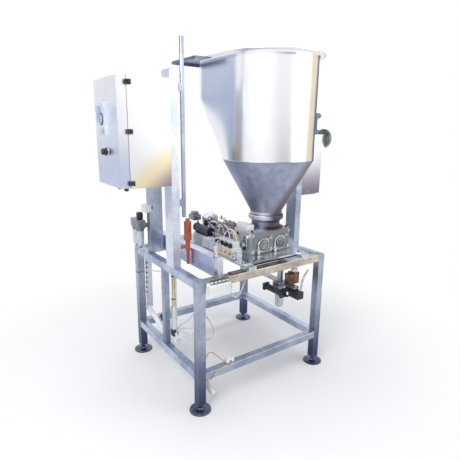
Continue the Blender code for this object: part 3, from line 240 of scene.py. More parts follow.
def smooth_path(points: list[Point], count: int = 60) -> np.ndarray:
    """A smooth line through the points, with its stations evenly apart.

    Between two points it is the Catmull-Rom cubic of those two and their neighbours.

    Args:
        points: The points that the line passes through.
        count: How many stations the line gets.

    Returns:
        The stations as (count, 3).
    """
    line = np.asarray(points, float)
    padded = np.concatenate([[2 * line[0] - line[1]], line, [2 * line[-1] - line[-2]]])
    place = np.linspace(0, len(line) - 1, 24 * len(line))
    index = np.minimum(place.astype(int), len(line) - 2)
    t = (place - index)[:, None]
    a, b, c, d = (padded[index + k] for k in range(4))
    fine = 0.5 * (2 * b + (c - a) * t + (2 * a - 5 * b + 4 * c - d) * t**2 + (3 * b - a - 3 * c + d) * t**3)
    gone = np.concatenate([[0], np.cumsum(np.linalg.norm(np.diff(fine, axis=0), axis=1))])
    even = np.linspace(0, gone[-1], count)
    return np.stack([np.interp(even, gone, fine[:, k]) for k in range(3)], 1)


def tube_grid(path: np.ndarray, radius: np.ndarray | float, sides: int = 12) -> np.ndarray:
    """A circle carried along a path: p + r (cos a side + sin a up), square to the path at each station.

    Args:
        path: Stations as (count, 3).
        radius: One radius, or one for each station.
        sides: Points round the circle.

    Returns:
        Points as (count, sides, 3).
    """
    forward = np.gradient(path, axis=0)
    forward /= np.linalg.norm(forward, axis=1)[:, None]
    helper = np.linalg.svd(forward)[2][-1]
    side = np.cross(forward, helper)
    side /= np.linalg.norm(side, axis=1)[:, None]
    up = np.cross(forward, side)
    angle = np.arange(sides)[None, :, None] * 2 * math.pi / sides
    reach = np.broadcast_to(np.asarray(radius, float), (len(path),))[:, None, None]
    return path[:, None] + reach * (np.cos(angle) * side[:, None] + np.sin(angle) * up[:, None])


def tube(path: np.ndarray, radius: np.ndarray | float, sides: int = 12) -> Surface:
    """A solid round bar or hose along a path."""
    return capped(tube_grid(path, radius, sides))


def pipe(path: np.ndarray, radius: float, wall: float, sides: int = 20) -> Surface:
    """A pipe with open ends: its outer skin and, walked back, its inner one."""
    outer = tube_grid(path, radius, sides)
    inner = tube_grid(path, radius - wall, sides)[::-1]
    return ring(np.concatenate([outer, inner]))


def bead(corners: list[Point], radius: float, ripple: float = 0.004) -> Surface:
    """A weld bead round a closed outline, whose radius swells and sinks by a sixth along its length.

    Args:
        corners: The outline's corners in order.
        radius: Mean radius of the bead.
        ripple: Length of one ripple.

    Returns:
        The closed surface: a circle of radius r (1 + sin(2 pi s / ripple) / 6) carried along the outline.
    """
    outline = np.asarray([*corners, corners[0]], float)
    gone = np.concatenate([[0], np.cumsum(np.linalg.norm(np.diff(outline, axis=0), axis=1))])
    station = np.arange(0, gone[-1], ripple / 3)
    path = np.stack([np.interp(station, gone, outline[:, k]) for k in range(3)], 1)
    swell = radius * (1 + np.sin(2 * math.pi * station / ripple) / 6)
    return ring(tube_grid(path, swell, 6))


def centre_of(low: Vector, high: Vector) -> Point:
    """The middle of a box between its two corners."""
    return (low.x + high.x) / 2, (low.y + high.y) / 2, (low.z + high.z) / 2


# --------------------------------------------------------------------------- finishes


def linear(red: int, green: int, blue: int) -> tuple[float, float, float, float]:
    """A colour written as display values from 0 to 255, as the linear colour that a shader takes."""
    share = np.array([red, green, blue]) / 255
    value = np.where(share <= 0.04045, share / 12.92, ((share + 0.055) / 1.055) ** 2.4)
    return (float(value[0]), float(value[1]), float(value[2]), 1.0)


class Effect(Enum):
    """The shader groups that finishes share, by the name of each group."""

    GRAIN = "grain"
    MOTTLE = "mottle"
    WEAR = "edge_wear"
    DUST = "dust"
    # The group that paints shade into a finish's colour along a direction.
    FADE = "fade"


class Nodes:
    """Places shader nodes in one node tree and links them."""

    def __init__(self, tree: bpy.types.NodeTree) -> None:
        """Starts on a tree."""
        self.tree = tree

    def add(self, kind: str, **inputs: object) -> bpy.types.Node:
        """Adds a node and sets or links its inputs.

        Args:
            kind: The node's type name.
            inputs: Values or output sockets by input name, with _ for a space.

        Returns:
            The node.
        """
        node = self.tree.nodes.new(kind)
        for name, value in inputs.items():
            self.feed(node.inputs[name.replace("_", " ")], value)
        return node

    def feed(self, socket: bpy.types.NodeSocket, value: object) -> None:
        """Links an output socket to an input, or sets the input's own value."""
        if isinstance(value, bpy.types.NodeSocket):
            self.tree.links.new(value, socket)
        else:
            socket.default_value = value

    def math(self, operation: str, first: object, second: object = 0.0,
             clamp: bool = False) -> bpy.types.NodeSocket:
        """A Math node's output for two values."""
        node = self.tree.nodes.new("ShaderNodeMath")
        node.operation, node.use_clamp = operation, clamp
        self.feed(node.inputs[0], first)
        self.feed(node.inputs[1], second)
        return node.outputs[0]

    def mix(self, share: object, first: object, second: object) -> bpy.types.NodeSocket:
        """The colour between two colours at a share from 0 to 1."""
        node = self.tree.nodes.new("ShaderNodeMix")
        node.data_type = "RGBA"
        self.feed(node.inputs[0], share)
        self.feed(node.inputs[6], first)
        self.feed(node.inputs[7], second)
        return node.outputs[2]

    def stretch(self, value: object, low: object, high: object,
                to: tuple[object, object] = (0.0, 1.0)) -> bpy.types.NodeSocket:
        """A Map Range node that takes low..high to the pair in to, smoothly at both ends."""
        node = self.tree.nodes.new("ShaderNodeMapRange")
        node.interpolation_type = "SMOOTHSTEP"
        for name, given in (("Value", value), ("From Min", low), ("From Max", high), ("To Min", to[0]),
                            ("To Max", to[1])):
            self.feed(node.inputs[name], given)
        return node.outputs[0]

    def noise(self, scale: object, detail: float = 3.0, vector: object = None) -> bpy.types.NodeSocket:
        """A Noise Texture's value on the object's own coordinates, or on the vector given."""
        where = vector or self.tree.nodes.new("ShaderNodeTexCoord").outputs["Object"]
        return self.add("ShaderNodeTexNoise", Vector=where, Scale=scale, Detail=detail).outputs[0]


class Effects:
    """Builds each shared shader group once."""

    def __init__(self) -> None:
        """Builds all the groups."""
        self.trees = {
            Effect.GRAIN: self._grain(),
            Effect.MOTTLE: self._mottle(),
            Effect.WEAR: self._wear(),
            Effect.DUST: self._dust(),
            Effect.FADE: self._painted_shade(),
        }

    @staticmethod
    def _start(effect: Effect, inputs: dict[str, tuple[str, object]], outputs: dict[str, str]) -> tuple:
        """Makes a group with named sockets.

        Args:
            effect: Which group.
            inputs: Socket type and default by input name.
            outputs: Socket type by output name.

        Returns:
            The tree, its Nodes helper, its input node and its output node.
        """
        tree = bpy.data.node_groups.new(effect.value, "ShaderNodeTree")
        for name, (kind, value) in inputs.items():
            socket = tree.interface.new_socket(name, in_out="INPUT", socket_type=f"NodeSocket{kind}")
            socket.default_value = value
        for name, kind in outputs.items():
            tree.interface.new_socket(name, in_out="OUTPUT", socket_type=f"NodeSocket{kind}")
        return tree, Nodes(tree), tree.nodes.new("NodeGroupInput"), tree.nodes.new("NodeGroupOutput")

    def _grain(self) -> bpy.types.NodeTree:
        """Fine lines of a brushed surface: noise on coordinates scaled by a different amount each way."""
        tree, nodes, given, out = self._start(Effect.GRAIN, {"Scale": ("Vector", (1, 1, 1))},
                                              {"Value": "Float"})
        where = tree.nodes.new("ShaderNodeTexCoord").outputs["Object"]
        scaled = nodes.add("ShaderNodeMapping", Vector=where, Scale=given.outputs["Scale"]).outputs[0]
        nodes.feed(out.inputs["Value"], nodes.noise(1.0, 4.0, scaled))
        return tree

    def _mottle(self) -> bpy.types.NodeTree:
        """Slow drift between two colours, from two sizes of noise."""
        inputs = {"Light": ("Color", (1, 1, 1, 1)), "Dark": ("Color", (0, 0, 0, 1)), "Scale": ("Float", 4.0)}
        tree, nodes, given, out = self._start(Effect.MOTTLE, inputs, {"Color": "Color"})
        slow = nodes.noise(given.outputs["Scale"], 2.0)
        quick = nodes.noise(nodes.math("MULTIPLY", given.outputs["Scale"], 7.0), 4.0)
        both = nodes.math("ADD", nodes.math("MULTIPLY", slow, 0.7), nodes.math("MULTIPLY", quick, 0.3))
        share = nodes.stretch(both, 0.36, 0.64)
        nodes.feed(out.inputs["Color"], nodes.mix(share, given.outputs["Dark"], given.outputs["Light"]))
        return tree

    def _wear(self) -> bpy.types.NodeTree:
        """A mask of rubbed edges: where the rounded normal leaves the flat one, broken up by noise."""
        tree, nodes, given, out = self._start(Effect.WEAR, {"Radius": ("Float", 0.002)}, {"Mask": "Float"})
        soft = nodes.add("ShaderNodeBevel", Radius=given.outputs["Radius"])
        soft.samples = 4
        flat = tree.nodes.new("ShaderNodeNewGeometry").outputs["Normal"]
        same = tree.nodes.new("ShaderNodeVectorMath")
        same.operation = "DOT_PRODUCT"
        nodes.feed(same.inputs[0], soft.outputs[0])
        nodes.feed(same.inputs[1], flat)
        edge = nodes.stretch(same.outputs["Value"], 0.995, 0.90)
        patchy = nodes.stretch(nodes.noise(90.0), 0.35, 0.6)
        nodes.feed(out.inputs["Mask"], nodes.math("MULTIPLY", edge, patchy))
        return tree

    def _dust(self) -> bpy.types.NodeTree:
        """A mask of settled dust: faces that look up, in soft patches."""
        tree, nodes, given, out = self._start(Effect.DUST, {"Amount": ("Float", 0.3)}, {"Mask": "Float"})
        normal = tree.nodes.new("ShaderNodeNewGeometry").outputs["Normal"]
        upward = nodes.add("ShaderNodeSeparateXYZ", Vector=normal).outputs["Z"]
        patches = nodes.stretch(nodes.noise(11.0, 5.0), 0.4, 0.7)
        settled = nodes.math("MULTIPLY", nodes.stretch(upward, 0.5, 1.0), patches)
        nodes.feed(out.inputs["Mask"], nodes.math("MULTIPLY", settled, given.outputs["Amount"], clamp=True))
        return tree


    def _painted_shade(self) -> bpy.types.NodeTree:
        """The mask of painted shade: 0 to 1 between two distances along a direction, a smooth step of p .
        toward.
        """
        inputs = {"Toward": ("Vector", (0, 0, 1)), "Start": ("Float", 0.0), "End": ("Float", 1.0)}
        tree, nodes, given, out = self._start(Effect.FADE, inputs, {"Mask": "Float"})
        along = tree.nodes.new("ShaderNodeVectorMath")
        along.operation = "DOT_PRODUCT"
        nodes.feed(along.inputs[0], tree.nodes.new("ShaderNodeTexCoord").outputs["Object"])
        nodes.feed(along.inputs[1], given.outputs["Toward"])
        mask = nodes.stretch(along.outputs["Value"], given.outputs["Start"], given.outputs["End"])
        nodes.feed(out.inputs["Mask"], mask)
        return tree


@dataclass(frozen=True)
class PaintedShade:
    """Painted shade: a slow change to another colour along a direction, between two distances along it in
    metres, that stands in for shade and reflection.
    """

    toward: Point
    start: float
    end: float
    colour: tuple[int, int, int]


@dataclass(frozen=True)
class Finish:
    """One finish: its two colours as display values, how it shines, how it is worked, worn and dusted, and
    its painted shade.
    """

    light: tuple[int, int, int]
    dark: tuple[int, int, int]
    rough: tuple[float, float] = (0.30, 0.45)
    metal: float = 1.0
    grain: Point = (160.0, 160.0, 160.0)
    depth: float = 0.00003
    drift: float = 5.0
    wear: float = 0.35
    wear_radius: float = 0.0015
    dust: float = 0.12
    coat: float = 0.0
    clear: float = 0.0
    stretched: float = 0.0
    # Painted shade: colour steps that stand in for shade and reflection on this finish.
    fades: tuple[PaintedShade, ...] = ()

    def material(self, name: str, effects: Effects) -> bpy.types.Material:
        """Builds the finish as a procedural material.

        Args:
            name: The material's name.
            effects: The shared shader groups.

        Returns:
            The material.
        """
        material = bpy.data.materials.new(name)
        material.use_nodes = True
        nodes = Nodes(material.node_tree)
        shader = material.node_tree.nodes["Principled BSDF"]
        mottle = self._group(nodes, effects, Effect.MOTTLE)
        mottle.inputs["Light"].default_value = linear(*self.light)
        mottle.inputs["Dark"].default_value = linear(*self.dark)
        mottle.inputs["Scale"].default_value = self.drift
        grain = self._group(nodes, effects, Effect.GRAIN)
        grain.inputs["Scale"].default_value = self.grain
        colour = mottle.outputs["Color"]
        # Painted shade: each step mixes in a colour that stands in for shade and reflection.
        for fade in self.fades:
            step = self._group(nodes, effects, Effect.FADE)
            step.inputs["Toward"].default_value = fade.toward
            step.inputs["Start"].default_value = fade.start
            step.inputs["End"].default_value = fade.end
            colour = nodes.mix(step.outputs["Mask"], colour, linear(*fade.colour))
        if self.wear > 0:
            wear = self._group(nodes, effects, Effect.WEAR)
            wear.inputs["Radius"].default_value = self.wear_radius
            rubbed = tuple(min(255, int(value * 1.25) + 25) for value in self.light)
            share = nodes.math("MULTIPLY", wear.outputs["Mask"], self.wear)
            colour = nodes.mix(share, colour, linear(*rubbed))
        dust = self._group(nodes, effects, Effect.DUST)
        dust.inputs["Amount"].default_value = self.dust
        nodes.feed(shader.inputs["Base Color"],
                   nodes.mix(dust.outputs["Mask"], colour, linear(176, 172, 164)))
        low, high = self.rough
        shine = nodes.stretch(grain.outputs["Value"], 0.3, 0.7, (low, high))
        dull = nodes.math("MULTIPLY", dust.outputs["Mask"], 0.4)
        nodes.feed(shader.inputs["Roughness"], nodes.math("ADD", shine, dull, clamp=True))
        bump = nodes.add("ShaderNodeBump", Height=grain.outputs["Value"], Distance=self.depth)
        nodes.feed(shader.inputs["Normal"], bump.outputs[0])
        shader.inputs["Metallic"].default_value = self.metal
        shader.inputs["Coat Weight"].default_value = self.coat
        shader.inputs["Transmission Weight"].default_value = self.clear
        shader.inputs["Anisotropic"].default_value = self.stretched
        return material

    @staticmethod
    def _group(nodes: Nodes, effects: Effects, effect: Effect) -> bpy.types.Node:
        """Places a shared group in the material."""
        node = nodes.tree.nodes.new("ShaderNodeGroup")
        node.node_tree = effects.trees[effect]
        return node


FINE, LONG = 240.0, 4.0
# Painted shade: frame steel turns dark blue towards the floor, in place of the dark reflection low on the
# legs.
PAINTED_FLOOR_SHADE = PaintedShade((0, 0, -1), -0.62, -0.02, (66, 74, 104))
SATIN = Finish((176, 186, 202), (142, 152, 172), rough=(0.26, 0.42), grain=(FINE, FINE, LONG))
PLASTIC = Finish((232, 234, 232), (206, 210, 208), rough=(0.3, 0.45), metal=0.0, wear=0.0, dust=0.2)
RUBBER_HOSE = replace(PLASTIC, rough=(0.22, 0.38), dust=0.08)


class Look(Enum):
    """Every finish on the machine."""

    # The uprights carry the painted shade towards the floor.
    FRAME_UPRIGHT = replace(SATIN, fades=(PAINTED_FLOOR_SHADE,))
    # Painted highlight: a much lighter copy of the frame steel on the cabinet post.
    POST = replace(SATIN, light=(226, 229, 240), dark=(196, 202, 220))
    FRAME_ACROSS = replace(SATIN, grain=(LONG, FINE, FINE))
    # Painted light: lighter, bluer copies of the frame steel for the rails that run front to back.
    FRAME_DEEP = replace(SATIN, light=(196, 208, 228), dark=(156, 170, 196), grain=(FINE, LONG, FINE))
    LOW_RAIL = replace(SATIN, light=(196, 208, 226), dark=(150, 164, 190), grain=(FINE, LONG, FINE))
    # Painted reflection: a warm beige copy of the frame steel on the front top rail.
    FRONT_RAIL = replace(SATIN, light=(206, 196, 182), dark=(160, 152, 144), grain=(LONG, FINE, FINE))
    BEAM = replace(SATIN, light=(216, 220, 238), dark=(188, 194, 218), grain=(FINE, LONG, FINE))
    PALE_STEEL = replace(SATIN, light=(224, 228, 234), dark=(196, 202, 212), grain=(60, 60, 60))
    FOOT = replace(SATIN, light=(112, 120, 146), dark=(70, 76, 102), grain=(90, 90, 90))
    WELD = Finish((196, 204, 218), (120, 128, 146), rough=(0.25, 0.45), grain=(500, 500, 500), drift=70.0,
                  wear=0.0)
    HOPPER = Finish((246, 246, 250), (236, 238, 244), rough=(0.22, 0.25), grain=(2, 2, 260), depth=0.000004,
                    drift=1.2, wear=0.0, dust=0.03)
    RIM = Finish((128, 142, 172), (88, 102, 132), rough=(0.25, 0.4), grain=(30, 30, 200))
    # Painted shade and painted reflection: a darker copy of the hopper's steel that darkens towards its front
    # right and below, and turns pale blue towards its back left.
    CONE = Finish((176, 182, 200), (142, 148, 170), rough=(0.30, 0.40), grain=(3, 3, 220), depth=0.00001,
                  drift=3.0, wear=0.0,
                  fades=(PaintedShade((0.817, -0.576, -0.573), -0.235, -0.15, (88, 78, 90)),
                         PaintedShade((-0.817, 0.576, 0), -0.27, -0.13, (112, 126, 156))))
    # Painted shade: the neck and the other parts in this finish darken towards the front right.
    NECK = Finish((216, 214, 224), (186, 184, 198), rough=(0.22, 0.36), grain=(3, 3, 260), drift=6.0,
                  fades=(PaintedShade((0.817, -0.576, 0), 0.395, 0.46, (84, 80, 92)),))
    COVER = Finish((150, 150, 150), (108, 110, 112), rough=(0.36, 0.52), grain=(120, 120, 120), drift=14.0)
    # Painted shade: the door turns blue-grey towards its foot.
    CABINET = Finish((247, 248, 251), (236, 238, 244), rough=(0.28, 0.36), grain=(LONG, LONG, FINE),
                     drift=1.2, wear=0.1, fades=(PaintedShade((0, 0, -1), -1.66, -1.40, (206, 214, 236)),))
    # Painted reflection and painted shade: the body turns cream and then dark mauve towards its lower right.
    CABINET_BODY = Finish((250, 250, 251), (240, 241, 245), rough=(0.28, 0.36), grain=(LONG, LONG, FINE),
                          drift=1.2, wear=0.1,
                          fades=(PaintedShade((0.62, 0, -0.78), -1.30, -1.17, (240, 226, 192)),
                                 PaintedShade((0.62, 0, -0.78), -1.19, -1.05, (150, 138, 144))))
    # Painted shade: the air box and its door darken to mauve towards their foot.
    AIR_BOX = Finish((214, 214, 222), (198, 198, 208), rough=(0.30, 0.42), grain=(LONG, LONG, FINE),
                     drift=2.0, wear=0.1, fades=(PaintedShade((0, 0, -1), -1.56, -1.18, (122, 112, 130)),))
    # Painted shade: the block's front face is darker than its left face.
    BLOCK = Finish((216, 224, 234), (184, 193, 204), rough=(0.36, 0.5), metal=0.6, grain=(50, 50, 50),
                   drift=16.0, wear=0.5, fades=(PaintedShade((0, -1, 0), -0.150, -0.1456, (126, 132, 132)),))
    NOZZLE = Finish((196, 201, 208), (150, 156, 164), rough=(0.3, 0.46), grain=(60, 60, 60), drift=12.0,
                    wear=0.5)
    MACHINED = Finish((206, 209, 212), (166, 170, 176), rough=(0.2, 0.34), grain=(120, 120, 120), drift=14.0)
    CHROME = Finish((222, 224, 230), (186, 190, 200), rough=(0.08, 0.16), grain=(60, 60, 60), wear=0.0)
    PLATE = Finish((214, 219, 224), (180, 187, 194), rough=(0.26, 0.4), grain=(LONG, FINE, FINE), drift=9.0)
    DARK_STEEL = Finish((84, 90, 94), (48, 52, 56), rough=(0.38, 0.55), drift=20.0)
    # Painted reflection: the dial's lower part turns pale blue.
    OLIVE = Finish((136, 142, 126), (84, 92, 82), rough=(0.3, 0.45), metal=0.6, grain=(120, 120, 120),
                   drift=12.0, fades=(PaintedShade((0, 0, -1), -1.545, -1.515, (160, 190, 222)),))
    BRASS = Finish((190, 152, 92), (138, 104, 56), rough=(0.22, 0.36), drift=24.0)
    BRONZE_BOX = Finish((136, 104, 78), (84, 64, 50), rough=(0.3, 0.5), metal=0.6, drift=18.0)
    GREY_HEAD = Finish((150, 154, 160), (112, 116, 124), rough=(0.34, 0.5), metal=0.5, grain=(90, 90, 90),
                       wear=0.4)
    NAVY = Finish((38, 50, 90), (18, 24, 50), rough=(0.3, 0.45), metal=0.3, coat=0.2)
    TEAL = Finish((44, 70, 84), (24, 42, 54), rough=(0.34, 0.5), metal=0.0, grain=(200, 200, 200), wear=0.2)
    PALE_BOX = replace(PLASTIC, light=(198, 204, 212), dark=(172, 180, 190))
    SKY_PLATE = replace(PLASTIC, light=(208, 216, 226), dark=(190, 200, 214))
    SKY_HANDLE = replace(PLASTIC, light=(186, 200, 216), dark=(156, 172, 194), wear=0.2)
    COUPLING = replace(PLASTIC, light=(96, 130, 190), dark=(66, 98, 160), wear=0.2)
    BLACK = Finish((34, 36, 42), (16, 17, 22), rough=(0.38, 0.55), metal=0.0, grain=(300, 300, 300),
                   wear=0.25)
    WHITE = PLASTIC
    CREAM = replace(PLASTIC, light=(226, 214, 186), dark=(196, 180, 146))
    YELLOW = replace(PLASTIC, light=(206, 182, 96), dark=(168, 140, 62))
    LAVENDER = replace(PLASTIC, light=(222, 220, 232), dark=(198, 196, 212))
    SLEEVE = Finish((164, 78, 56), (118, 46, 34), rough=(0.34, 0.5), metal=0.0, wear=0.3)
    HOSE = replace(RUBBER_HOSE, light=(226, 229, 238), dark=(204, 209, 222), clear=0.1)
    CREAM_HOSE = replace(RUBBER_HOSE, light=(230, 214, 178), dark=(204, 184, 140))
    YELLOW_HOSE = replace(RUBBER_HOSE, light=(196, 180, 92), dark=(160, 142, 62))
    PINK_HOSE = replace(RUBBER_HOSE, light=(214, 176, 170), dark=(184, 146, 142))
    BROWN_HOSE = replace(RUBBER_HOSE, light=(132, 100, 70), dark=(96, 70, 50))
    LAVENDER_HOSE = replace(RUBBER_HOSE, light=(204, 206, 234), dark=(180, 184, 220), clear=0.1)
    FROSTED = Finish((228, 233, 240), (206, 213, 224), rough=(0.16, 0.3), metal=0.0, wear=0.0, clear=0.35)
    RUBBER = Finish((46, 46, 48), (26, 26, 28), rough=(0.6, 0.8), metal=0.0, wear=0.1, dust=0.4)
    PANEL = Finish((228, 229, 228), (206, 208, 207), rough=(0.4, 0.5), metal=0.0)


class Workshop:
    """Turns surfaces into pieces: it makes the mesh, dresses it and sets the body that it rides on."""

    def __init__(self) -> None:
        """Builds the shared effects, and a material for each look the first time that it is used."""
        self.effects = Effects()
        self.materials: dict[Look, bpy.types.Material] = {}
        self.count = 0

    def material(self, look: Look) -> bpy.types.Material:
        """The material of a look."""
        if look not in self.materials:
            self.materials[look] = look.value.material(look.name.lower(), self.effects)
        return self.materials[look]

    def piece(self, name: str, surfaces: list[Surface], look: Look, body: str = "root",
              sharp: float = 32.0) -> bpy.types.Object:
        """Makes one piece of the machine.

        Args:
            name: The piece's name.
            surfaces: Its closed surfaces, joined in one mesh.
            look: Its finish.
            body: The body that it rides on.
            sharp: The angle in degrees past which an edge stays sharp.

        Returns:
            The object.
        """
        whole = merged(surfaces)
        mesh = bpy.data.meshes.new(name)
        mesh.from_pydata(whole.points.tolist(), [], whole.quads.tolist() + whole.tris.tolist())
        shape = bmesh.new()
        shape.from_mesh(mesh)
        bmesh.ops.remove_doubles(shape, verts=shape.verts, dist=1e-6)
        bmesh.ops.recalc_face_normals(shape, faces=shape.faces)
        shape.to_mesh(mesh)
        shape.free()
        mesh.shade_smooth()
        mesh.set_sharp_from_angle(angle=math.radians(sharp))
        piece = bpy.data.objects.new(name, mesh)
        bpy.context.scene.collection.objects.link(piece)
        piece.data.materials.append(self.material(look))
        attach(piece, body)
        self.count += 1
        LOG.info("%s: %d faces on %s", name, len(mesh.polygons), body)
        return piece

    def hose(self, name: str, points: list[Point], radius: float, look: Look, stiffness: str = "medium",
             lay: str = "hanging") -> None:
        """Args:
            name: The piece's name.
            points: The points that its middle line passes through.
            radius: Its radius.
            look: Its finish.
            stiffness: limp, medium or stiff; not used.
            lay: How it lies; not used.
        """
        path = smooth_path(points, 72)
        piece = self.piece(name, [tube(path, radius)], look, sharp=60.0)

    def dress(self, node: bpy.types.Object, look: Look) -> None:
        """Gives a carried-over node its finish."""
        node.data.materials.clear()
        node.data.materials.append(self.material(look))


# --------------------------------------------------------------------------- studio


@dataclass
class Studio:
    """The camera, a pale floor, soft lamps and a plain surround."""

    eye: Point = (-1.0747, -1.8004, 1.6391)
    yaw: float = 35.35
    pitch: float = -14.02
    roll: float = 0.716
    lens: float = 31.49
    floor_radius: float = 9.0
    clear_radius: float = 2.2

    def build(self) -> None:
        """Makes everything in the studio."""
        self._camera()
        self._floor()
        self._lamps()
        self._surround()

    def _camera(self) -> None:
        """The camera looks along yaw from +Y to +X, dipped by pitch and rolled about its line of sight."""
        camera = bpy.data.objects.new("camera", bpy.data.cameras.new("camera"))
        bpy.context.scene.collection.objects.link(camera)
        camera.data.lens = self.lens
        camera.data.clip_start, camera.data.clip_end = 0.05, 60.0
        yaw = Matrix.Rotation(math.radians(-self.yaw), 4, "Z")
        pitch = Matrix.Rotation(math.radians(90 + self.pitch), 4, "X")
        roll = Matrix.Rotation(math.radians(self.roll), 4, "Z")
        camera.matrix_world = Matrix.Translation(self.eye) @ (yaw @ pitch) @ roll
        bpy.context.scene.camera = camera

    def _floor(self) -> None:
        """A pale disc that keeps the shadow near the machine and fades to plain white further out."""
        middle = (0.48, 0.42, 0.0)
        mesh = bpy.data.meshes.new("floor")
        grid = turned_grid([(0.01, 0), (self.clear_radius, 0), (self.floor_radius, 0)], middle, (0, 0, 1), 64)
        mesh.from_pydata(grid.reshape(-1, 3).tolist(), [],
                         grid_quads(3, 64, False).tolist() + [list(range(64))])
        floor = bpy.data.objects.new("floor", mesh)
        bpy.context.scene.collection.objects.link(floor)
        material = bpy.data.materials.new("floor")
        material.use_nodes = True
        nodes = Nodes(material.node_tree)
        shader = material.node_tree.nodes["Principled BSDF"]
        grain = nodes.noise(60.0)
        nodes.feed(shader.inputs["Base Color"],
                   nodes.mix(grain, linear(232, 232, 234), linear(240, 240, 241)))
        shader.inputs["Roughness"].default_value = 0.8
        shader.inputs["Specular IOR Level"].default_value = 0.1
        where = material.node_tree.nodes.new("ShaderNodeTexCoord").outputs["Object"]
        away = material.node_tree.nodes.new("ShaderNodeVectorMath")
        away.operation = "DISTANCE"
        nodes.feed(away.inputs[0], where)
        away.inputs[1].default_value = middle
        far = nodes.stretch(away.outputs["Value"], 0.9, self.clear_radius)
        seen = self._seen(nodes)
        white = nodes.add("ShaderNodeEmission", Strength=1.0)
        white.inputs["Color"].default_value = (1, 1, 1, 1)
        blend = nodes.add("ShaderNodeMixShader", Fac=nodes.math("MULTIPLY", far, seen))
        nodes.feed(blend.inputs[1], shader.outputs[0])
        nodes.feed(blend.inputs[2], white.outputs[0])
        nodes.feed(material.node_tree.nodes["Material Output"].inputs["Surface"], blend.outputs[0])
        floor.data.materials.append(material)

    @staticmethod
    def _seen(nodes: Nodes) -> bpy.types.NodeSocket:
        """1 for a ray from the camera, or one that metal or glass has turned."""
        path = nodes.tree.nodes.new("ShaderNodeLightPath").outputs
        turned_ray = nodes.math("ADD", path["Is Glossy Ray"], path["Is Transmission Ray"])
        return nodes.math("ADD", path["Is Camera Ray"], turned_ray, clamp=True)

    @staticmethod
    def _lamps() -> None:
        """Three large soft lamps: from the left in front, from the right, and from above."""
        middle = Vector((0.45, 0.35, 1.1))
        for name, place, size, power in (
            ("key", (-2.6, -1.4, 3.4), 2.4, 95.0),
            ("fill", (2.8, -2.4, 2.2), 2.6, 38.0),
            ("top", (0.4, 0.9, 4.4), 2.4, 60.0),
        ):
            lamp = bpy.data.lights.new(name, "AREA")
            lamp.size, lamp.energy = size, power
            holder = bpy.data.objects.new(name, lamp)
            bpy.context.scene.collection.objects.link(holder)
            toward = (middle - Vector(place)).to_track_quat("-Z", "Y")
            holder.matrix_world = Matrix.Translation(place) @ toward.to_matrix().to_4x4()

    def _surround(self) -> None:
        """White to the camera; metal sees it with cool, dark and warm parts of a room by direction."""
        world = bpy.data.worlds.new("surround")
        world.use_nodes = True
        bpy.context.scene.world = world
        nodes = Nodes(world.node_tree)
        direction = world.node_tree.nodes.new("ShaderNodeTexCoord").outputs["Generated"]
        height = nodes.add("ShaderNodeSeparateXYZ", Vector=direction).outputs["Z"]
        white = (1.0, 1.0, 1.0, 1.0)
        room = self._lobe(nodes, direction, (-0.62, 0.785, -0.05), (0.950, 0.985), white,
                          linear(166, 180, 208))
        low = nodes.stretch(height, 0.02, -0.16)
        front = self._lobe(nodes, direction, (0.35, -0.92, -0.15), (0.55, 0.92), room, linear(96, 84, 100))
        room = nodes.mix(low, room, front)
        room = self._lobe(nodes, direction, (0.96, -0.26, 0.0), (0.90, 0.99), room, linear(236, 222, 188))
        room = self._lobe(nodes, direction, (0.90, 0.42, 0.0), (0.93, 0.99), room, linear(84, 80, 100))
        path = world.node_tree.nodes.new("ShaderNodeLightPath").outputs
        shown = nodes.math("ADD", path["Is Camera Ray"], path["Is Transmission Ray"], clamp=True)
        colour = nodes.mix(path["Is Glossy Ray"], (0.60, 0.61, 0.63, 1.0), room)
        colour = nodes.mix(shown, colour, white)
        nodes.feed(world.node_tree.nodes["Background"].inputs["Color"], colour)

    @staticmethod
    def _lobe(nodes: Nodes, direction: object, toward: Point, reach: tuple[float, float], under: object,
              colour: object) -> bpy.types.NodeSocket:
        """Lays a soft patch of colour over the surround round one direction.

        Args:
            nodes: The world's nodes.
            direction: The ray's direction.
            toward: The middle of the patch.
            reach: The cosines at which the patch starts and is full.
            under: The colour under the patch.
            colour: The patch's colour.

        Returns:
            The colour of both.
        """
        same = nodes.tree.nodes.new("ShaderNodeVectorMath")
        same.operation = "DOT_PRODUCT"
        nodes.feed(same.inputs[0], direction)
        same.inputs[1].default_value = tuple(Vector(toward).normalized())
        return nodes.mix(nodes.stretch(same.outputs["Value"], *reach), under, colour)


# --------------------------------------------------------------------------- hopper


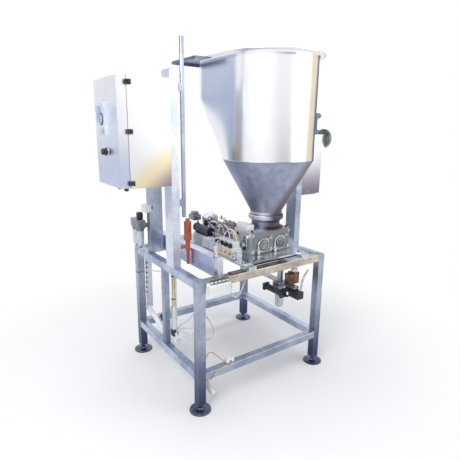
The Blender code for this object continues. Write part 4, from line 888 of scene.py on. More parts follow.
@dataclass
class Hopper:
    """The hopper's skin, its rolled rim, seams and neck, in place of their faceted solids."""

    shop: Workshop
    radius: float = 0.295
    back: float = 0.440
    corner: float = 0.100
    wall: float = 0.003
    rim_width: float = 0.038
    rim_thick: float = 0.006
    slope_height: float = 0.381
    neck_radius: float = 0.105
    outlet_radius: float = 0.095
    neck_top: float = 1.1164
    clamp_low: float = 1.0644

    def build(self) -> None:
        """Makes the hopper from its body down to its neck."""
        low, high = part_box("hopper_body")
        self.x = (low.x + high.x) / 2
        self.y = high.y - self.rim_width - self.back
        self.seam, self.rim = low.z, high.z
        self._body()
        self._cone()
        self._seams()

    def _level(self, z: float, square: float, grow: float, sides: int = 192) -> np.ndarray:
        """One level of the body: a half circle in front and a back wall with round corners.

        The outline is walked by angle. In front it is the circle r (cos a, sin a). Behind, each point slides
        from the circle (square 0) to the wall with round corners (square 1).

        Args:
            z: Height of the level.
            square: How far the back has gone from round to square.
            grow: Distance outside the nominal skin.
            sides: Points round the level.

        Returns:
            Points as (sides, 3).
        """
        radius, back, corner = self.radius + grow, self.back + grow, self.corner + grow
        quarter = sides // 4
        front = np.linspace(math.pi, 2 * math.pi, 2 * quarter, endpoint=False)
        half = np.stack([radius * np.cos(front), radius * np.sin(front)], 1)
        right = np.linspace(0, 1, quarter, endpoint=False)
        straight, arc = back - corner, corner * math.pi / 2
        flat = radius - corner
        gone = right * (straight + arc + flat)
        turn = np.clip((gone - straight) / corner, 0, math.pi / 2)
        edge = np.maximum(gone - straight - arc, 0)
        square_x = flat + corner * np.cos(turn) - edge
        square_y = np.minimum(gone, straight) + corner * np.sin(turn)
        round_x, round_y = radius * np.cos(right * math.pi / 2), radius * np.sin(right * math.pi / 2)
        back_right = np.stack([round_x + (square_x - round_x) * square,
                               round_y + (square_y - round_y) * square], 1)
        mirrored = np.stack([-back_right[1:, 0], back_right[1:, 1]], 1)[::-1]
        middle = [[0.0, radius + (back - radius) * square]]
        outline = np.concatenate([half, back_right, middle, mirrored])
        return np.concatenate([outline + (self.x, self.y), np.full((len(outline), 1), z)], 1)

    def _body(self) -> None:
        """The skin from the seam up the slope and the wall to the rolled rim, and down again inside."""
        slope = self.seam + self.slope_height
        edge = self.rim - self.rim_thick
        rise = np.linspace(0, 1, 9)
        outer = [self._level(self.seam + t * self.slope_height, t, 0) for t in rise]
        outer += [self._level(slope + t * (edge - 0.004 - slope), 1, 0) for t in rise[1:]]
        roll = np.linspace(-math.pi / 2, math.pi / 2, 7)
        half = self.rim_thick / 2
        lip = [self._level(edge, 1, 0.004), self._level(edge, 1, 0.010)]
        lip += [self._level(edge + half + half * math.sin(a), 1, self.rim_width - half + half * math.cos(a))
                for a in roll]
        inner = [self._level(self.rim, 1, -self.wall + 0.004), self._level(self.rim - 0.004, 1, -self.wall)]
        inner += [self._level(slope, 1, -self.wall)]
        inner += [self._level(self.seam + t * self.slope_height, t, -self.wall) for t in rise[::-1][1:]]
        body = self.shop.piece("hopper_skin", [ring(np.stack(outer + lip + inner))], Look.HOPPER, sharp=50)
        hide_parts("hopper_body")

    def _cone(self) -> None:
        """The cone, its neck and the foot flange, turned with a small radius at each bend."""
        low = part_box("hopper_cone")[0].z
        top = self.seam - 0.0006
        neck, outlet, wall = self.neck_radius, self.outlet_radius, self.wall
        step = self.clamp_low - 0.006
        profile = [(outlet - wall, low), (outlet - wall, step - 0.008), (neck - wall, step),
                   (neck - wall, self.neck_top), (self.radius - wall, top), (self.radius, top),
                   (self.radius - 0.002, top - 0.004), (neck + 0.003, self.neck_top + 0.005),
                   (neck, self.neck_top - 0.003), (neck, step), (outlet, step - 0.010), (outlet, low + 0.014),
                   (neck + 0.012, low + 0.009), (neck + 0.012, low)]
        cone = self.shop.piece("cone_skin", [turned_ring(profile, (self.x, self.y, 0), sides=144)], Look.CONE,
                               sharp=40)
        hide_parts("hopper_cone")

    def _seams(self) -> None:
        """A ground weld seam round the foot of the body, and a band of painted highlight round the neck."""
        seam = self._level(self.seam, 0, 0.0005, 192)
        foot = ring(tube_grid(np.concatenate([seam, seam[:1]])[:-1], 0.0016, 6))
        self.shop.piece("hopper_seam", [foot], Look.NECK)
        # Painted highlight: the lighter band at the top of the neck.
        self.shop.piece("neck_bright_ring", [self._band(self.neck_top - 0.004, 0.012)], Look.NECK)

    def _band(self, top: float, height: float) -> Surface:
        """A shallow band round the neck in a lighter finish than the cone: a painted highlight."""
        inner, outer = self.neck_radius + 0.0002, self.neck_radius + 0.0016
        profile = [(inner, top - height), (outer, top - height), (outer, top), (inner, top)]
        return turned_ring(profile, (self.x, self.y, 0), sides=96)


# --------------------------------------------------------------------------- frame


@dataclass
class FrameTrim:
    """Weld beads, levelling feet, ties and the perforated strip on the frame."""

    shop: Workshop
    weld: float = 0.0019
    foot_radius: float = 0.065
    stem_radius: float = 0.009
    thread_pitch: float = 0.0025
    leg_low: float = 0.045
    strip_holes: int = 7
    strip_first: float = 0.697
    strip_step: float = 0.0372
    tie_height: float = 0.628

    def build(self) -> None:
        """Makes the trim of all four corners and the rear-left leg's fittings."""
        for end in ("front", "rear"):
            for side in ("left", "right"):
                self._corner(end, side)
                self._foot(f"foot_{end}_{side}")
        self._strip()
        self._end_caps()

    def _corner(self, end: str, side: str) -> None:
        """Beads round the ends of the four rails that meet one leg."""
        leg = f"leg_{end}_{side}"
        low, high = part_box(leg)
        beads = []
        for level in ("top", "lower"):
            across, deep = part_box(f"{level}_rail_{end}"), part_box(f"{level}_rail_{side}")
            x = high.x if side == "left" else low.x
            beads.append(self._section(across, 0, x + (self.weld / 2 if side == "left" else -self.weld / 2)))
            y = high.y if end == "front" else low.y
            beads.append(self._section(deep, 1, y + (self.weld / 2 if end == "front" else -self.weld / 2)))
        self.shop.piece(f"welds_{leg}", beads, Look.WELD)

    def _section(self, box: tuple, along: int, place: float) -> Surface:
        """A bead round a rail's rectangular section at one place along it."""
        low, high = box
        other = 1 - along
        corners = []
        for share_across, share_up in ((0, 0), (1, 0), (1, 1), (0, 1)):
            corner = [0.0, 0.0, low.z + share_up * (high.z - low.z)]
            corner[along] = place
            corner[other] = low[other] + share_across * (high[other] - low[other])
            corners.append(tuple(corner))
        return bead(corners, self.weld)

    def _foot(self, node: str) -> None:
        """A rubber ring, a domed steel pad, a hexagon, a threaded stem and a lock nut under the leg."""
        low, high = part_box(node)
        x, y, _ = centre_of(low, high)
        rubber = [(0.001, 0.0), (self.foot_radius - 0.004, 0.0), (self.foot_radius, 0.0012),
                  (self.foot_radius, 0.0042), (0.001, 0.0042)]
        pad = [(0.001, 0.0042), (self.foot_radius - 0.0015, 0.0042), (self.foot_radius - 0.001, 0.007),
               (self.foot_radius - 0.006, 0.0095), (0.030, 0.0115), (0.020, 0.0135), (0.016, 0.020),
               (0.001, 0.021)]
        grip = self.shop.piece(f"{node}_rubber", [turned(rubber, (x, y, 0), sides=56)], Look.RUBBER)
        turns = np.arange(0, (high.z - 0.024) / self.thread_pitch)
        thread = []
        for turn in turns:
            start = 0.022 + float(turn) * self.thread_pitch
            thread += [(self.stem_radius - 0.0012, start), (self.stem_radius, start + self.thread_pitch / 2)]
        steel = [turned(pad, (x, y, 0), sides=56), hexagon((x, y, 0.021), (x, y, 0.029), 0.0125),
                 turned(thread, (x, y, 0), sides=16),
                 hexagon((x, y, self.leg_low - 0.0105), (x, y, self.leg_low - 0.0008), 0.0165)]
        foot = self.shop.piece(f"{node}_steel", steel, Look.FOOT)
        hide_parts(node)

    def _strip(self) -> None:
        """A perforated strip with plugs, a tie and a short link on the inner side of the rear-left leg."""
        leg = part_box("leg_rear_left")
        front, inner = leg[0].y, leg[1].x
        strip = [rounded_box((inner + 0.0006, front - 0.013, 0.35), (inner + 0.050, front - 0.009, 0.7725),
                             0.001)]
        self.shop.piece("perforated_strip", strip, Look.PALE_STEEL)
        holes = []
        for number in range(self.strip_holes):
            place = (inner + 0.0115 - 0.0015 * number, front - 0.0128,
                     self.strip_first - self.strip_step * number)
            holes.append(rod(place, (place[0], place[1] - 0.0022, place[2]), 0.0066, 14))
        self.shop.piece("strip_plugs", holes, Look.BLACK)
        low, high = leg
        edge, z = 0.0012, self.tie_height
        corners = [(low.x - edge, low.y - edge, z), (high.x + edge, low.y - edge, z + 0.003),
                   (high.x + edge, high.y + edge, z + 0.002), (low.x - edge, high.y + edge, z)]
        self.shop.piece("cable_tie_leg", [bead(corners, 0.0016, 0.02)], Look.BLACK)
        link = [rod((inner + 0.050, front - 0.011, z), (inner + 0.1, front - 0.05, 0.622), 0.004, 10)]
        self.shop.piece("strip_link", link, Look.WHITE)

    def _end_caps(self) -> None:
        """Caps in the open tops of the posts, and a welded plate over the beam's front end."""
        for post in ("cabinet_post", "rear_post", "box_post"):
            low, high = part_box(post)
            cap = rounded_box((low.x + 0.001, low.y + 0.001, high.z + 0.0003),
                              (high.x - 0.001, high.y - 0.001, high.z + 0.004), 0.0015)
            self.shop.piece(f"{post}_cap", [cap], Look.PALE_STEEL)
        low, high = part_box("side_beam")
        plate = rounded_box((low.x, low.y - 0.0030, low.z), (high.x, low.y - 0.0003, high.z), 0.001)
        self.shop.piece("side_beam_plate", [plate], Look.BEAM)
        outline = [(low.x, low.y, low.z), (high.x, low.y, low.z), (high.x, low.y, high.z),
                   (low.x, low.y, high.z)]
        self.shop.piece("side_beam_weld", [bead(outline, 0.0012)], Look.WELD)


# --------------------------------------------------------------------------- cabinet


@dataclass
class CabinetFittings:
    """The gasket, disconnect plate and handle, knob ring and glands of the control cabinet."""

    shop: Workshop
    handle_radius: float = 0.026
    knob_ring: float = 0.0225
    gland_places: tuple[tuple[float, float], ...] = ((-0.240, 0.400), (-0.240, 0.500), (-0.170, 0.500))

    def build(self) -> None:
        """Makes everything on the door and under the cabinet."""
        self.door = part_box("cabinet_door")
        self.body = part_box("cabinet_body")
        self.face_x = self.door[0].x + 0.024
        self._gasket()
        self._disconnect()
        self._knob_ring()
        self._glands()

    def _gasket(self) -> None:
        """A dark rubber frame between the door's rim and the cabinet."""
        low, high = self.door
        front, back = -0.2694, -0.2684
        inset, width = 0.0015, 0.012
        y_low, y_high = low.y + inset, 0.6135
        z_low, z_high = low.z + inset, high.z - inset
        bars = [
            rounded_box((front, y_low, z_low), (back, y_low + width, z_high), 0.0004),
            rounded_box((front, y_high - width, z_low), (back, y_high, z_high), 0.0004),
            rounded_box((front, y_low + width, z_low), (back, y_high - width, z_low + width), 0.0004),
            rounded_box((front, y_low + width, z_high - width), (back, y_high - width, z_high), 0.0004),
        ]
        gasket = self.shop.piece("door_gasket", bars, Look.RUBBER, body="cabinet_door")

    def _disconnect(self) -> None:
        """A plate on the door and, on it, a round handle with a grip bar and a dark ring."""
        low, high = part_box("disconnect_handle")
        y = (low.y + high.y) / 2
        z = low.z + self.handle_radius
        back = high.x
        plate = [rounded_box((back + 0.0002, y - 0.0465, 1.5985), (self.face_x - 0.0003, y + 0.0465, 1.7715),
                             0.004, 4)]
        self.shop.piece("disconnect_plate", plate, Look.SKY_PLATE, body="cabinet_door")
        label = [rounded_box((back - 0.0004, y - 0.038, 1.603), (back + 0.0001, y + 0.038, 1.640), 0.0003)]
        self.shop.piece("disconnect_window", label, Look.PALE_STEEL, body="cabinet_door")
        out = (-1, 0, 0)
        disc = [(0.001, 0.0), (self.handle_radius, 0.0), (self.handle_radius, 0.008),
                (self.handle_radius - 0.003, 0.011), (0.001, 0.012)]
        grip = rounded_box((low.x, y - 0.0085, low.z + 0.006), (back - 0.010, y + 0.0085, high.z), 0.004, 4)
        handle = self.shop.piece("disconnect_grip", [turned(disc, (back - 0.0002, y, z), out, 40), grip],
                                 Look.SKY_HANDLE, body="disconnect_handle")
        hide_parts("disconnect_handle")
        ring_profile = [(self.handle_radius + 0.0006, 0.0), (self.handle_radius + 0.006, 0.0),
                        (self.handle_radius + 0.005, 0.003), (self.handle_radius + 0.0006, 0.003)]
        ring_piece = [turned_ring(ring_profile, (back + 0.0002, y, z), out, 40)]
        self.shop.piece("disconnect_ring", ring_piece, Look.TEAL, body="cabinet_door")

    def _knob_ring(self) -> None:
        """A bright ring round the selector knob."""
        low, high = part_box("selector_knob")
        _, y, z = centre_of(low, high)
        inner, outer = self.knob_ring, self.knob_ring + 0.005
        profile = [(inner, 0.0), (outer, 0.0), (outer, 0.002), (inner + 0.001, 0.004), (inner, 0.004)]
        ring_piece = [turned_ring(profile, (self.face_x - 0.0003, y, z), (-1, 0, 0), 40)]
        self.shop.piece("selector_ring", ring_piece, Look.CHROME, body="cabinet_door")

    def _glands(self) -> None:
        """Cable glands under the cabinet: a hexagon, a body and a domed nut."""
        top = self.body[0].z
        for number, (x, y) in enumerate(self.gland_places):
            dome = [(0.0135, 0.0), (0.0135, 0.010), (0.012, 0.016), (0.008, 0.020), (0.001, 0.0205)]
            parts = [
                hexagon((x, y, top - 0.0003), (x, y, top - 0.007), 0.016),
                rod((x, y, top - 0.007), (x, y, top - 0.012), 0.0115, 20),
                turned(dome, (x, y, top - 0.012), (0, 0, -1), 20),
            ]
            self.shop.piece(f"cable_gland_{number}", parts, Look.BLACK)


# --------------------------------------------------------------------------- pump


@dataclass
class PumpFittings:
    """Cover discs, bolts, silencers, the valve bank's caps and boxes, and the plate's bolts and the black
    strip of painted shadow under its edge.
    """

    shop: Workshop
    disc_radius: float = 0.033
    silencer_rings: int = 7
    string_x: float = 0.500
    string_z: float = 0.992
    rear_silencer_x: float = 0.569
    valves: int = 4
    valve_pitch: float = 0.048
    plate_top: float = 0.8493

    def build(self) -> None:
        """Makes the fittings of the pump from its front to its back."""
        for side in ("left", "right"):
            self._cover_disc(side)
            self._cap_screws(side)
        self._block_bolts()
        self._string()
        self._bank()
        self._actuator()
        self._plate_bolts()

    def _cover_disc(self, side: str) -> None:
        """A turned face with a dark groove and a screwed plug in the middle of each bore cover."""
        low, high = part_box(f"bore_cover_{side}")
        x, _, z = centre_of(low, high)
        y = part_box("pump_block")[0].y - 0.0126
        front = (0, -1, 0)
        face = [(0.001, 0.0), (self.disc_radius, 0.0), (self.disc_radius, 0.0022),
                (self.disc_radius - 0.002, 0.0034), (0.020, 0.0034), (0.019, 0.0026), (0.001, 0.0026)]
        plug = [(0.001, 0.0026), (0.0125, 0.0026), (0.0125, 0.0062), (0.0112, 0.0078), (0.001, 0.0078)]
        self.shop.piece(f"cover_face_{side}",
                        [turned(face, (x, y, z), front, 56), turned(plug, (x, y, z), front, 36)], Look.COVER)
        groove = [(self.disc_radius + 0.0003, 0.0), (self.disc_radius + 0.0052, 0.0),
                  (self.disc_radius + 0.0045, 0.0016), (self.disc_radius + 0.0003, 0.0016)]
        self.shop.piece(f"cover_seal_{side}", [turned_ring(groove, (x, y, z), front, 56)], Look.RUBBER)

    def _cap_screws(self, side: str) -> None:
        """Nuts at the corners of each air cylinder's caps at both ends, with two port fittings on top."""
        low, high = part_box(f"air_cylinder_{side}")
        x, _, z = centre_of(low, high)
        half = (high.x - low.x) / 2 - 0.009
        nuts = []
        for across, up in ((1, 1), (1, -1), (-1, 1), (-1, -1)):
            for y, out in ((high.y + 0.0003, 1), (low.y - 0.0003, -1)):
                place = (x + across * half, y, z + up * half)
                nuts.append(hexagon(place, (place[0], y + out * 0.006, place[2]), 0.0062))
        self.shop.piece(f"tie_rod_nuts_{side}", nuts, Look.DARK_STEEL)
        ports = []
        for y in (low.y + 0.013, high.y - 0.013):
            ports += self._push_fitting((x, y, high.z + 0.0004), 0.0075)
        self.shop.piece(f"air_ports_{side}", ports, Look.BRASS)

    @staticmethod
    def _push_fitting(foot: Point, radius: float) -> list[Surface]:
        """An upright push-in fitting: a hexagon, a round body and a release ring."""
        x, y, z = foot
        return [
            hexagon((x, y, z), (x, y, z + 0.007), radius),
            rod((x, y, z + 0.007), (x, y, z + 0.017), radius * 0.82, 16),
            rod((x, y, z + 0.017), (x, y, z + 0.020), radius * 0.66, 16),
        ]

    def _block_bolts(self) -> None:
        """Socket screws on the block's front, dark bolts on its left face and screws on its top."""
        low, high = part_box("pump_block")
        y = low.y - 0.0003
        middle = (low.x + high.x) / 2
        front = []
        for across, z in ((-0.152, 0.022), (-0.152, 0.128), (0.152, 0.022), (0.152, 0.128), (0, 0.020),
                          (0, 0.100)):
            place = (middle + across, y, low.z + z)
            front += self._socket_screw(place, (0, -1, 0), 0.0085)
        self.shop.piece("block_front_screws", front, Look.MACHINED)
        side = []
        for across, up in ((0.073, 0.084), (0.073, 0.058), (0.071, 0.032), (0.150, 0.118), (0.150, 0.042)):
            side += self._socket_screw((low.x - 0.0003, low.y + across, low.z + up), (-1, 0, 0), 0.0085)
        self.shop.piece("block_side_screws", side, Look.BLACK)
        top = []
        for x in (low.x + 0.018, high.x - 0.018):
            for inset in (0.018, 0.172):
                top += self._socket_screw((x, low.y + inset, high.z + 0.0003), (0, 0, 1), 0.008)
        self.shop.piece("block_top_screws", top, Look.DARK_STEEL)

    @staticmethod
    def _socket_screw(foot: Point, out: Point, radius: float) -> list[Surface]:
        """A socket cap screw: a washer, a round head and a raised ring round its hexagon socket."""
        washer = [(0.001, 0.0), (radius * 1.35, 0.0), (radius * 1.35, 0.0014), (0.001, 0.0014)]
        top = radius * 1.05
        head = [(0.0006, 0.0014), (radius, 0.0014), (radius, radius * 0.95), (radius * 0.9, top),
                (radius * 0.56, top), (radius * 0.50, radius * 0.62), (0.0006, radius * 0.60)]
        return [turned(washer, foot, out, 20), turned(head, foot, out, 20)]

    def _silencer(self, start: Point, end: Point, radius: float) -> Surface:
        """A ribbed silencer: its radius follows a row of half circles between two plain ends."""
        span = np.asarray(end, float) - np.asarray(start, float)
        length = float(np.linalg.norm(span))
        share = np.linspace(0.14, 0.86, 8 * self.silencer_rings)
        wave = np.abs(np.sin(share * math.pi * self.silencer_rings / 0.72))
        profile = [(radius * 0.6, 0.0), (radius * 0.62, 0.12 * length)]
        profile += [(radius * (0.80 + 0.20 * float(w)), float(s) * length) for s, w in zip(share, wave)]
        profile += [(radius * 0.62, 0.88 * length), (radius * 0.5, length)]
        return turned(profile, start, tuple(span), 28)

    def _string(self) -> None:
        """The air junction, the regulator's body and the silencers in a row, with nipples and a bracket."""
        x, z, rear_x = self.string_x, self.string_z, self.rear_silencer_x
        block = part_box("pump_block")
        block_top = block[1].z
        junction = rounded_box((x - 0.018, 0.200, block_top + 0.0006), (x + 0.040, 0.325, block_top + 0.036),
                               0.005, 4)
        self.shop.piece("air_junction", [junction], Look.WHITE)
        regulator = [rounded_box((x - 0.021, 0.360, z - 0.018), (x + 0.021, 0.440, z + 0.026), 0.005, 4),
                     rod((x, 0.378, z + 0.026), (x, 0.378, z + 0.036), 0.009, 18),
                     rod((x, 0.420, z + 0.026), (x, 0.420, z + 0.036), 0.009, 18)]
        self.shop.piece("air_regulator_body", regulator, Look.GREY_HEAD)
        ribbed = [self._silencer((x, 0.462, z + 0.008), (x, 0.552, z + 0.008), 0.023),
                  self._silencer((x, 0.655, z), (x, 0.765, z), 0.028),
                  self._silencer((rear_x, 0.700, z), (rear_x, 0.820, z), 0.026)]
        self.shop.piece("silencers", ribbed, Look.PALE_STEEL)
        nipples = [rod((x, 0.328, z + 0.004), (x, 0.362, z + 0.004), 0.008, 14),
                   rod((x, 0.438, z + 0.008), (x, 0.466, z + 0.008), 0.008, 14),
                   rod((x, 0.548, z + 0.006), (x, 0.660, z + 0.002), 0.0075, 14)]
        self.shop.piece("air_nipples", nipples, Look.BRASS)
        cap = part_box("air_cylinder_left")[1]
        bracket = [rounded_box((x - 0.020, 0.690, cap.z - 0.010), (x - 0.014, 0.740, z - 0.020), 0.001),
                   rounded_box((x - 0.020, 0.690, cap.z + 0.0006), (cap.x - 0.010, 0.740, cap.z + 0.0045),
                               0.001),
                   rod((x - 0.012, 0.715, cap.z + 0.004), (x, 0.715, z - 0.020), 0.006, 12),
                   rod((rear_x, 0.760, cap.z + 0.004), (rear_x, 0.760, z - 0.020), 0.008, 12)]
        self.shop.piece("silencer_bracket", bracket, Look.DARK_STEEL)
        valve = [rounded_box((0.430, 0.800, 0.962), (0.496, 0.880, 1.004), 0.004, 4),
                 rounded_box((0.440, 0.815, 1.004), (0.486, 0.865, 1.026), 0.006, 4),
                 rod((0.463, 0.770, 0.985), (0.463, 0.800, 0.985), 0.010, 16)]
        self.shop.piece("exhaust_valve", valve, Look.GREY_HEAD)

    def _bank(self) -> None:
        """Pale coil caps with black sockets, manual buttons, fittings and end plates on the valve bank."""
        low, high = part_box("valve_bank")
        middle = (low.x + high.x) / 2
        caps, sockets, fittings, buttons = [], [], [], []
        for number in range(self.valves):
            y = low.y + 0.023 + self.valve_pitch * number
            caps.append(rounded_box((middle - 0.0262, y - 0.0160, high.z - 0.016),
                                    (middle + 0.0262, y + 0.0160, high.z + 0.0012), 0.003, 4))
            sockets.append(rounded_box((low.x - 0.014, y - 0.010, high.z - 0.030),
                                       (middle - 0.0265, y + 0.010, high.z - 0.006), 0.002))
            fittings += self._push_fitting((high.x - 0.010, y - 0.006, 0.9194), 0.0068)
            fittings.append(hexagon((low.x - 0.0003, y, 0.884), (low.x - 0.010, y, 0.884), 0.0078))
            buttons.append(rod((middle + 0.006, y, high.z + 0.001), (middle + 0.006, y, high.z + 0.0045),
                               0.0042, 14))
        self.shop.piece("coil_caps", caps, Look.LAVENDER)
        self.shop.piece("coil_sockets", sockets, Look.BLACK)
        self.shop.piece("bank_fittings", fittings, Look.BRASS)
        self.shop.piece("bank_buttons", buttons, Look.YELLOW)
        ends = [rounded_box((low.x - 0.006, near, low.z + 0.0004), (high.x + 0.003, far, 0.900), 0.002)
                for near, far in ((low.y - 0.006, low.y - 0.0004), (high.y + 0.0004, high.y + 0.006))]
        self.shop.piece("bank_end_plates", ends, Look.CHROME)
        side = [rounded_box((low.x - 0.004, low.y + 0.004, low.z + 0.006),
                            (low.x - 0.0004, high.y - 0.004, 0.906), 0.001)]
        self.shop.piece("bank_side_cover", side, Look.CREAM)
        self._relay_boxes(low, high)

    def _relay_boxes(self, low: Vector, high: Vector) -> None:
        """Two pale boxes behind the valve bank with a cover and four screws.

        Args:
            low: The low corner of the bank.
            high: Its high corner.
        """
        boxes = [rounded_box((low.x, high.y + 0.016, low.z + 0.0004), (high.x, high.y + 0.090, 0.914), 0.005,
                             4),
                 rounded_box((low.x, high.y + 0.094, low.z + 0.0004), (high.x, high.y + 0.170, 0.914), 0.005,
                             4),
                 rounded_box((low.x + 0.010, high.y + 0.030, 0.9144), (high.x - 0.014, high.y + 0.072, 0.930),
                             0.003)]
        self.shop.piece("relay_boxes", boxes, Look.PALE_BOX)
        screws = []
        for number in range(4):
            x, y = low.x + 0.012 + 0.046 * (number % 2), high.y + 0.026 + 0.128 * (number // 2)
            screws.append(rod((x, y, 0.9142), (x, y, 0.9160), 0.0038, 14))
        self.shop.piece("relay_box_screws", screws, Look.DARK_STEEL)

    def _actuator(self) -> None:
        """Push-in fittings at both ends of the rotor's air cylinder."""
        low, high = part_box("valve_actuator")
        x = centre_of(low, high)[0]
        ports = []
        for y in (low.y + 0.020, high.y - 0.020):
            ports += self._push_fitting((x, y, high.z + 0.0006), 0.0075)
        self.shop.piece("actuator_ports", ports, Look.BRASS)

    def _plate_bolts(self) -> None:
        """Bolts at the plate's corners, plugs along its front and a black strip of painted shadow along the
        rail under it.
        """
        low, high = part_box("base_plate")
        top = self.plate_top
        bolts = []
        for x in (low.x + 0.030, high.x - 0.030):
            for y in (0.055, 0.790):
                bolts.append(rod((x, y, top), (x, y, top + 0.002), 0.013, 24))
                bolts.append(hexagon((x, y, top + 0.002), (x, y, top + 0.010), 0.0105))
        self.shop.piece("base_plate_bolts", bolts, Look.MACHINED)
        plugs = []
        for number in range(5):
            x, y = 0.360 + 0.034 * number, 0.055 + 0.022 * (number % 2)
            plugs.append(rod((x, y, top), (x, y, top + 0.0035), 0.0065, 18))
        self.shop.piece("base_plate_plugs", plugs, Look.DARK_STEEL)
        # Painted shadow: black strips on the rail's top and under the plate's front edge fill the dark gap
        # between them.
        deck, front, back, turn_x = low.z + 0.0004, -0.021, 0.022, 0.640
        strip = [rounded_box((0.205, front, deck), (low.x - 0.003, back, deck + 0.005), 0.001),
                 rounded_box((low.x + 0.078, front, deck), (turn_x, back, deck + 0.005), 0.001),
                 rounded_box((low.x + 0.0755, 0.036, deck), (high.x - 0.0755, 0.041, top - 0.0125), 0.001)]
        self.shop.piece("plate_seal_strip", strip, Look.RUBBER)
        cover = [rounded_box((turn_x + 0.0004, front, deck), (high.x - 0.078, back, deck + 0.005), 0.001)]
        self.shop.piece("plate_edge_cover", cover, Look.PLATE)


# --------------------------------------------------------------------------- nozzle


@dataclass
class NozzleFittings:
    """The small air cylinder, switch, valve and collar round the outlet under the table."""

    shop: Workshop
    bar_low: float = 0.596
    bar_high: float = 0.608
    cylinder_aside: float = 0.085

    def build(self) -> None:
        """Makes the fittings on the nozzle's bar and beside it."""
        low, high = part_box("nozzle_body")
        x, front, under = centre_of(low, high)[0], low.y, self.bar_low
        side, level = x - self.cylinder_aside, under - 0.030
        cylinder = [rod((side, front + 0.050, level), (side, front + 0.205, level), 0.022, 32)]
        cylinder += [rounded_box((x - 0.110, front + start, under - 0.055),
                                 (x - 0.060, front + start + 0.020, under - 0.005), 0.003)
                     for start in (0.030, 0.205)]
        cylinder += [rod((side, front - 0.010, level), (side, front + 0.030, level), 0.007, 18)]
        self.shop.piece("shutoff_cylinder", cylinder, Look.DARK_STEEL)
        arm = [rounded_box((x - 0.112, front + 0.036, under - 0.004),
                           (x - 0.018, front + 0.060, under - 0.0004), 0.001)]
        self.shop.piece("cylinder_bracket", arm, Look.DARK_STEEL)
        switch = [rounded_box((x - 0.027, front - 0.045, under - 0.062),
                              (x + 0.028, front + 0.052, under - 0.010), 0.005, 4),
                  rounded_box((x - 0.020, front + 0.056, under - 0.040),
                              (x + 0.020, front + 0.090, under - 0.0006), 0.003),
                  rounded_box((x - 0.021, front + 0.004, under - 0.0095),
                              (x + 0.021, front + 0.040, under - 0.0005), 0.001)]
        self.shop.piece("limit_switch", switch, Look.BLACK)
        cap_x, cap_y = x + 0.046, 0.092
        cap = [rod((cap_x, cap_y, 0.692), (cap_x, cap_y, 0.716), 0.023, 36),
               rod((cap_x, cap_y, 0.716), (cap_x, cap_y, 0.726), 0.016, 36)]
        self.shop.piece("sensor_block", cap, Look.WHITE)
        above = self.bar_high + 0.0006
        valve = [rounded_box((x - 0.018, 0.066, above), (x + 0.022, 0.120, 0.684), 0.004, 4),
                 rounded_box((x + 0.026, 0.066, above), (x + 0.072, 0.120, 0.690), 0.004, 4),
                 rod((x + 0.002, 0.093, 0.684), (x + 0.002, 0.093, 0.700), 0.010, 24)]
        self.shop.piece("pilot_valve", valve, Look.BRONZE_BOX)
        nuts = [hexagon((x, front + gap, self.bar_high + 0.0003), (x, front + gap, self.bar_high + 0.008),
                        0.008) for gap in (0.012, 0.318)]
        self.shop.piece("nozzle_bar_nuts", nuts, Look.MACHINED)
        union = [collar(0.0213, reach, tall, (x, 0.182, foot)) for reach, tall,
                 foot in ((0.034, 0.007, 0.700), (0.029, 0.012, 0.708))]
        self.shop.piece("outlet_union", union, Look.CHROME)


# --------------------------------------------------------------------------- air box and air supply


